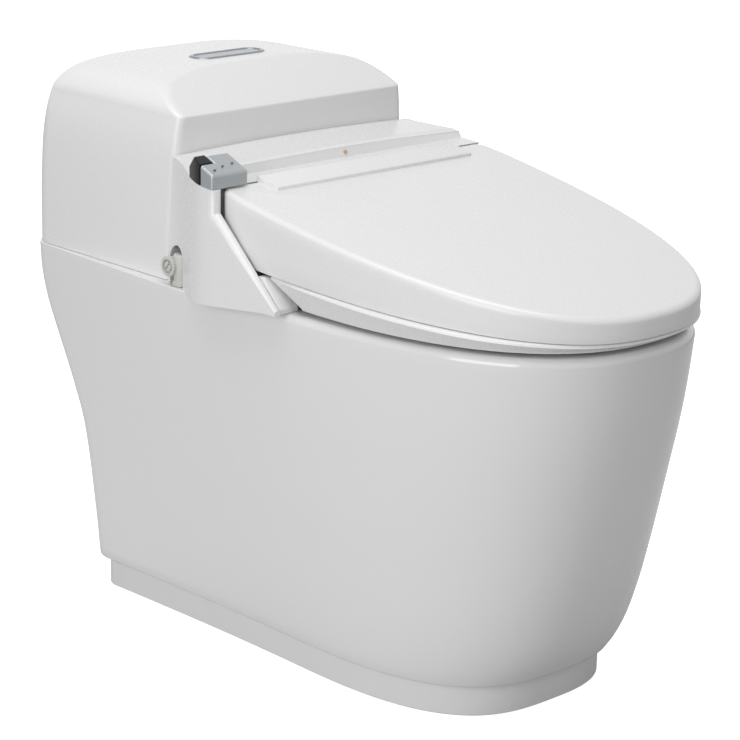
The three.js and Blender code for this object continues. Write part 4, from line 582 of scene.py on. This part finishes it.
def casing_plan(low, high):
    flare = [(mix(HOOD_HALF, CASING_HALF, 0.5 - 0.5 * math.cos(s * math.pi)),
              mix(back_of(DECK) - 1, 345, s)) for s in np.linspace(0, 1, 17)]
    flare += [(CASING_HALF, 355), (mix(CASING_HALF, CHEEK_IN, 0.35), 444)]
    return prism("plan", flare + [(-x, d) for x, d in flare[::-1]], "z", low, high)


def swing_arc(r, angles):
    return [(HINGE_D - r * math.cos(math.radians(a)), HINGE_Z + r * math.sin(math.radians(a)))
            for a in angles]


def casing():
    side = [(back_of(DECK), DECK + 0.3), (back_of(501), CASING_TOP - 2), (back_of(501) + 2, CASING_TOP),
            (301, 496), (EDGE_D, 494), (353, 486), (355, 484), (355, 462), (442, 383.3), (442, 378.3),
            (425, 378.3), (330, 368.3)]
    obj = bowed("casing", side, 197)
    carve(obj, casing_plan(360, 505), "INTERSECT")
    room = [(307, 493), (311, 483.5)] + swing_arc(SWING, (26, 22, 18, 14, 9, 4.5, 0))
    carve(obj, bowed("room", room + [(WALL_D, 360), (450, 360), (450, 505), (307, 505)], CHEEK_IN))
    # the cheek without the panel is lower
    low = [(307, 505), (307, 476), (357, 460), (357, 505)]
    carve(obj, prism("low_cheek", low, "x", CHEEK_IN, 200))
    inside = [(back_of(DECK) + 3, 360), (back_of(501) + 3, 493.5), (299, 487.5), (308, 480.5)]
    inside += swing_arc(SWING + 3, (20, 10, 0)) + [(WALL_D - 3, 360)]
    carve(obj, prism("inside", inside, "x", -157, 157))
    recess = [(d, z) for d, z in arc(261, 393, 16, 0, 180, 20)] + [(245, 360), (277, 360)]
    carve(obj, prism("recess", recess, "x", -200, -140))
    slot = [(-24.3, 322), (24.3, 322), (24.3, 390), (-24.3, 390)]
    carve(obj, prism("slot", slot, "z", 360, 414.7))
    for s in (-1, 1):
        carve(obj, cheek_round(s, CASING_HALF - 0.3, 7.5, -1))
        carve(obj, cheek_round(s, CHEEK_IN, 2.5, 1))
    round_edges(obj, 1.2, 3, 32)
    return even(obj, 35)


def cheek_round(s, edge, r, way):
    """The waste beside a quarter round that runs down the upright front of a cheek and its slope."""
    section = [(edge - way * 4, 3), (edge - way * 4, -r)]
    section += [(edge + way * (r - r * math.cos(a)), -r + r * math.sin(a))
                for a in np.linspace(0, math.pi / 2, 9)]
    section.append((edge + way * r, 3))
    # places along the front, and how far a step out of the face moves in d and in z there
    stops = [((355, 487), (1, 0)), ((355, 462), (1, 0.444)), ((455, 371.5), (0.671, 0.741))]
    return loft("waste", [[point(s * x, d + out[0] * n, z + out[1] * n) for x, n in section]
                          for (d, z), out in stops])


def end_cover(name, s):
    side = [(331.3, 369.3), (425, 378.3), (440.5, 378.3), (440.5, 383), (417.5, 410), (410, 410),
            (398, 406.5), (384, 403), (366, 397.5), (331.3, 397.5)]
    obj = prism(name, side, "x", min(s * 160, s * 183.7), max(s * 160, s * 183.7))
    round_edges(obj, 0.9, 3, 25)
    return smooth(obj, 35)


stands_for(casing(), "washer_casing")
stands_for(end_cover("right_end", -1), "end_cover_right")
stands_for(end_cover("left_end", 1), "end_cover_left")


# control panel

SENSOR_IN = 177.0          # inner end of the sensor window


def panel_top(d):
    return mix(499, 512, (353 - d) / 31)


def on_casing(obj):
    """Cuts a piece off 0.3 mm over the casing's top."""
    seat = [(230, 360), (230, CASING_TOP + 0.3), (back_of(501), CASING_TOP + 0.3), (301, 496.3),
            (EDGE_D + 0.3, 494.3), (356, 485.8), (356, 360)]
    return carve(obj, bowed("seat", seat, 197))


def panel():
    side = [(322, 478), (322, panel_top(322)), (353, panel_top(353)), (353, 484), (343, 478)]
    obj = prism("panel", side, "x", -194.2, -149)
    step = [(-198, 300), (-SENSOR_IN, 300), (-SENSOR_IN, 334), (-198, 334)]
    carve(obj, prism("step", step, "z", 470, 520))
    round_edges(obj, 2.6, 5, 40)
    return even(on_casing(obj), 35)


def sensor():
    outline = [(-SENSOR_IN - 0.3, 306), (-SENSOR_IN - 0.3, 333.7), (-194, 333.7), (-192.6, 327),
               (-190.2, 320), (-184.4, 306)]
    side = [(333.8, 470), (333.8, panel_top(334)), (321, panel_top(321)), (306, 500.1), (305, 470)]
    obj = carve(prism("sensor", outline, "z", 474, 520), prism("side", side, "x", -200, -170), "INTERSECT")
    round_edges(obj, 1.2, 4, 25)
    return even(on_casing(obj), 35)


stands_for(panel(), "control_panel")
stands_for(sensor(), "sensor_window")


# lid and seat

def seam_at(d):
    return SEAM + SEAM_RISE * (LID_NOSE - d)


def crest_at(d):
    return SEAM + CREST + CREST_RISE * (LID_NOSE - d)


def cut_tail(obj, half):
    tail = [(330, 458), (344, 458), (389, 415), (418, 412), (418, 370), (330, 370)]
    return carve(obj, prism("tail", tail, "x", -half, half))


def lid():
    outline = plan(LID_TAIL, LID_MID, LID_NOSE, LID_HALF, LID_BACK_HALF, 14, 2.45)
    middle = mix(LID_TAIL, LID_NOSE, 0.45)
    wall = 3.0

    def toward(ring, share):
        return [(x * share, middle + (d - middle) * share) for x, d in ring]

    crown = [(0.06, 1.0), (0.22, 0.985), (0.42, 0.88), (0.6, 0.7), (0.76, 0.47), (0.88, 0.25), (0.95, 0.1)]
    inner, inner_top = drawn_in(outline, wall), drawn_in(outline, wall + CREST_IN)
    loops = [[point(x, d, crest_at(d) - wall + 5 * rise) for x, d in toward(inner_top, share)]
             for share, rise in crown]
    loops.append([point(x, d, crest_at(d) - wall) for x, d in inner_top])
    loops.append([point(x, d, crest_at(d) - wall - 2) for x, d in drawn_in(outline, wall + CREST_IN * 0.4)])
    loops.append([point(x, d, crest_at(d) - wall - 6) for x, d in inner])
    loops.append([point(x, d, seam_at(d) + 0.8) for x, d in inner])
    loops.append([point(x, d, seam_at(d)) for x, d in drawn_in(outline, wall - 0.8)])
    loops.append([point(x, d, seam_at(d)) for x, d in drawn_in(outline, 0.9)])
    loops.append([point(x, d, seam_at(d) + 0.3) for x, d in drawn_in(outline, 0.25)])
    loops.append([point(x, d, seam_at(d) + 1.0) for x, d in outline])
    for share in (0.35, 0.6, 0.75):
        loops.append([point(x, d, mix(seam_at(d), crest_at(d), share)) for x, d in outline])
    for turn in np.linspace(12, 90, 9):
        a = math.radians(turn)
        ring = drawn_in(outline, CREST_IN * (1 - math.cos(a)))
        loops.append([point(x, d, crest_at(d) - 5.5 * (1 - math.sin(a))) for x, d in ring])
    top = drawn_in(outline, CREST_IN)
    loops += [[point(x, d, crest_at(d) + 5 * rise) for x, d in toward(top, share)]
              for share, rise in crown[::-1]]
    shell = cut_tail(loft("lid", loops), 200)
    raised = [(346, crest_at(346) - 1), (346, crest_at(346) + 5.2), (346.9, crest_at(347) + 6),
              (374.8, crest_at(375) + 5.14), (376.5, crest_at(377) + 4.9), (377, crest_at(377) + 4.2),
              (377, crest_at(377) - 1)]
    strip = prism("strip", raised, "x", -132, 132)
    round_edges(strip, 0.8, 3, 30)
    parts = [shell, strip]
    for s in (-1, 1):
        lug = [(HINGE_D + 11 * math.cos(math.radians(a)), HINGE_Z - 11 * math.sin(math.radians(a)))
               for a in range(0, 181, 8)]
        lug += [(HINGE_D - 11, crest_at(379) - 2), (HINGE_D + 22, crest_at(412) - 2)]
        ear = prism("ear", lug, "x", min(s * 160, s * 171), max(s * 160, s * 171))
        carve(ear, drum("bore", 5.3, point(-180, HINGE_D, HINGE_Z), point(180, HINGE_D, HINGE_Z), 32))
        post = drum("post", 7, point(s * 118, 560, seam_at(560) + 3.7),
                    point(s * 118, 560, crest_at(560) - 1))
        parts += [round_edges(ear, 0.8, 2, 40), round_edges(post, 0.6, 2, 40)]
    return smooth(merged("lid", *parts), 35)


def seat():
    def at(share):
        return plan(mix(418, 450, share), mix(LID_MID + 80, LID_MID + 90, share), mix(LID_NOSE, 736, share),
                    mix(LID_HALF, 168.5, share), mix(LID_HALF, 168.5, share) - 1, 5, 2.3)

    def egg(half, d0, d1):
        middle, ring = mix(d0, d1, 0.42), []
        for a in np.linspace(0, 2 * math.pi, 240, endpoint=False):
            c, s = math.cos(a), math.sin(a)
            reach = d1 - middle if s > 0 else middle - d0
            ring.append((half * math.copysign(abs(c) ** 0.92, c),
                         middle + reach * math.copysign(abs(s) ** 0.92, s)))
        return ring, (0.0, middle)

    low, high = at(1), at(0)
    seam = lambda d: seam_at(d) - 0.6
    loops = [[point(x, d, SEAT_LOW) for x, d in drawn_in(low, 3)],
             [point(x, d, SEAT_LOW + 0.6) for x, d in drawn_in(low, 1)],
             [point(x, d, SEAT_LOW + 2.2) for x, d in low]]
    for share in (0.25, 0.5, 0.75):
        loops.append([point(mix(a[0], b[0], share), mix(a[1], b[1], share),
                            mix(SEAT_LOW + 2.2, seam(b[1]) - 3, share))
                      for a, b in zip(low, drawn_in(high, 1.2))])
    for inward, down in ((1.2, 3.0), (1.6, 1.6), (2.4, 0.6), (3.6, 0.0)):
        loops.append([point(x, d, seam(d) - down) for x, d in drawn_in(high, inward)])
    rim, centre = egg(104, 456, 692)
    hole = facing(high, centre, rim)
    edge = drawn_in(high, 3.6)
    dish = [(0.15, 0.1), (0.35, 0.6), (0.55, 1.4), (0.75, 3.2), (0.88, 5.4), (0.96, 8.0), (1.0, 11.0)]
    for share, sink in dish:
        loops.append([point(mix(a[0], b[0], share), mix(a[1], b[1], share),
                            max(seam(mix(a[1], b[1], share)) - sink, SEAT_LOW + 3))
                      for a, b in zip(edge, hole)])
    loops.append([point(x, d, SEAT_LOW + 1.0) for x, d in hole])
    wide, _ = egg(105.5, 454.5, 693.5)
    loops.append([point(x, d, SEAT_LOW) for x, d in facing(high, centre, wide)])
    ring = loft("seat", loops, closed=True)
    carve(ring, prism("relief", [(-48, 410), (48, 410), (48, 464), (-48, 464)], "z", 370, 394.5))
    parts = [ring]
    for s in (-1, 1):
        arm = [(HINGE_D - 11 * math.cos(math.radians(a)), HINGE_Z + 11 * math.sin(math.radians(a)))
               for a in np.linspace(-60, 150, 24)]
        arm += [(430, seam_at(418) - 3), (464, 385), (450, 384)]
        obj = prism("arm", arm, "x", min(s * 146, s * 157), max(s * 146, s * 157))
        carve(obj, drum("bore", 5.3, point(-180, HINGE_D, HINGE_Z), point(180, HINGE_D, HINGE_Z), 32))
        parts.append(round_edges(obj, 0.9, 2, 40))
    return smooth(merged("seat", *parts), 35)


stands_for(lid(), "lid")
stands_for(seat(), "seat_ring")


# inlet valve with its strainer plug

VALVE_D, VALVE_Z = 256, 388

def plug():
    face = -172.6
    obj = drum("plug", 10.5, point(-168.7, VALVE_D, VALVE_Z), point(face, VALVE_D, VALVE_Z), 64)
    round_edges(obj, 0.7, 3, 40)
    ring = drum("recess", 7.2, point(face - 2, VALVE_D, VALVE_Z), point(face + 3, VALVE_D, VALVE_Z), 48)
    carve(obj, ring)
    boss = drum("boss", 5.0, point(face + 3.2, VALVE_D, VALVE_Z), point(face + 0.2, VALVE_D, VALVE_Z), 40)
    middle = point(0, VALVE_D, VALVE_Z)
    across = [(VALVE_D - 6, VALVE_Z - 1), (VALVE_D + 6, VALVE_Z - 1), (VALVE_D + 6, VALVE_Z + 1),
              (VALVE_D - 6, VALVE_Z + 1)]
    slot = prism("slot", across, "x", face - 2, face + 2.4)
    slot.data.transform(Matrix.Translation(middle) @ Matrix.Rotation(math.radians(-50), 4, "X")
                        @ Matrix.Translation(-middle))
    carve(boss, slot)
    round_edges(boss, 0.3, 2, 40)
    for k in range(20):
        a = k / 20 * 2 * math.pi
        d, z = VALVE_D + 10.9 * math.cos(a), VALVE_Z + 10.9 * math.sin(a)
        carve(obj, drum("notch", 0.9, point(-168, d, z), point(face - 1, d, z), 10))
    return smooth(merged("plug", obj, boss), 35)


def valve():
    barrel = drum("valve", 9.5, point(-168.4, VALVE_D, VALVE_Z), point(-142, VALVE_D, VALVE_Z), 48)
    drop = drum("drop", 9, point(-160, 265, 368.4), point(-160, 265, 401), 48)
    nut = drum("nut", 10.5, point(-160, 265, 368.4), point(-160, 265, 373.4), 6)
    for o, w in ((barrel, 0.8), (drop, 1.6), (nut, 0.8)):
        round_edges(o, w, 3, 40)
    return smooth(merged("valve", barrel, drop, nut), 35)


stands_for(plug(), "strainer_plug")
stands_for(valve(), "inlet_valve")


# floor, light and camera

bpy.ops.object.select_all(action="DESELECT")
bpy.ops.mesh.primitive_plane_add(size=14, location=(0, 0, -0.0005))
floor = bpy.context.object
floor.name = "floor"
floor_mat = bpy.data.materials.new("floor_pale")
floor_mat.use_nodes = True
tree = floor_mat.node_tree
tree.nodes.clear()
rays = add_node(tree, "ShaderNodeLightPath")
shade = add_node(tree, "ShaderNodeMix", {"Factor": (rays, "Is Diffuse Ray"), "A": linear("#F4F4F4"),
                                         "B": linear("#B4B4B4")}, data_type="RGBA")
paint = add_node(tree, "ShaderNodeBsdfDiffuse", {"Color": (shade, "Result")})
lift = add_node(tree, "ShaderNodeMath", {0: (rays, "Is Camera Ray"), 1: 0.85}, operation="MULTIPLY")
glow = add_node(tree, "ShaderNodeEmission", {"Color": linear("#FFFFFF"), "Strength": (lift, "Value")})
whole = add_node(tree, "ShaderNodeAddShader", {0: (paint, "BSDF"), 1: (glow, "Emission")})
add_node(tree, "ShaderNodeOutputMaterial", {"Surface": (whole, "Shader")})
floor.data.materials.append(floor_mat)

world = bpy.data.worlds.new("studio")
bpy.context.scene.world = world
world.use_nodes = True
tree = world.node_tree
tree.nodes.clear()
rays = add_node(tree, "ShaderNodeLightPath")
seen = add_node(tree, "ShaderNodeMath", {0: (rays, "Is Camera Ray"), 1: (rays, "Is Glossy Ray")},
                operation="MAXIMUM")
soft = add_node(tree, "ShaderNodeBackground", {"Color": linear("#FFFFFF"), "Strength": 0.43})
white = add_node(tree, "ShaderNodeBackground", {"Color": linear("#FFFFFF"), "Strength": 1.0})
both = add_node(tree, "ShaderNodeMixShader", {0: (seen, "Value"), 1: (soft, "Background"),
                                              2: (white, "Background")})
add_node(tree, "ShaderNodeOutputWorld", {"Surface": (both, "Shader")})


def lamp(name, place, aim, size, power):
    light = bpy.data.lights.new(name, "AREA")
    light.shape, light.size, light.energy = "SQUARE", size, power
    obj = bpy.data.objects.new(name, light)
    bpy.context.scene.collection.objects.link(obj)
    obj.location = place
    obj.rotation_mode = "QUATERNION"
    obj.rotation_quaternion = (Vector(aim) - Vector(place)).to_track_quat("-Z", "Y")


lamp("overhead", (-0.5, -0.1, 2.7), (0, 0, 0.4), 1.6, 25)
lamp("left", (-2.6, -0.9, 1.0), (0, 0, 0.25), 1.6, 29)

camera = bpy.data.cameras.new("photo")
camera.sensor_width = SENSOR
camera.lens = FOCAL_PX / IMAGE * SENSOR
camera.shift_x = (IMAGE / 2 - AXIS_PX[0]) / IMAGE
camera.shift_y = (AXIS_PX[1] - IMAGE / 2) / IMAGE
camera.clip_end = 30
view = bpy.data.objects.new("photo", camera)
bpy.context.scene.collection.objects.link(view)
view.location = EYE
a, e = math.radians(AZIMUTH), math.radians(ELEVATION)
back = Vector((math.sin(a) * math.cos(e), -math.cos(a) * math.cos(e), math.sin(e)))
view.rotation_mode = "QUATERNION"
view.rotation_quaternion = (-back).to_track_quat("-Z", "Y")
bpy.context.scene.camera = view
bpy.context.scene.view_settings.view_transform = "Standard"
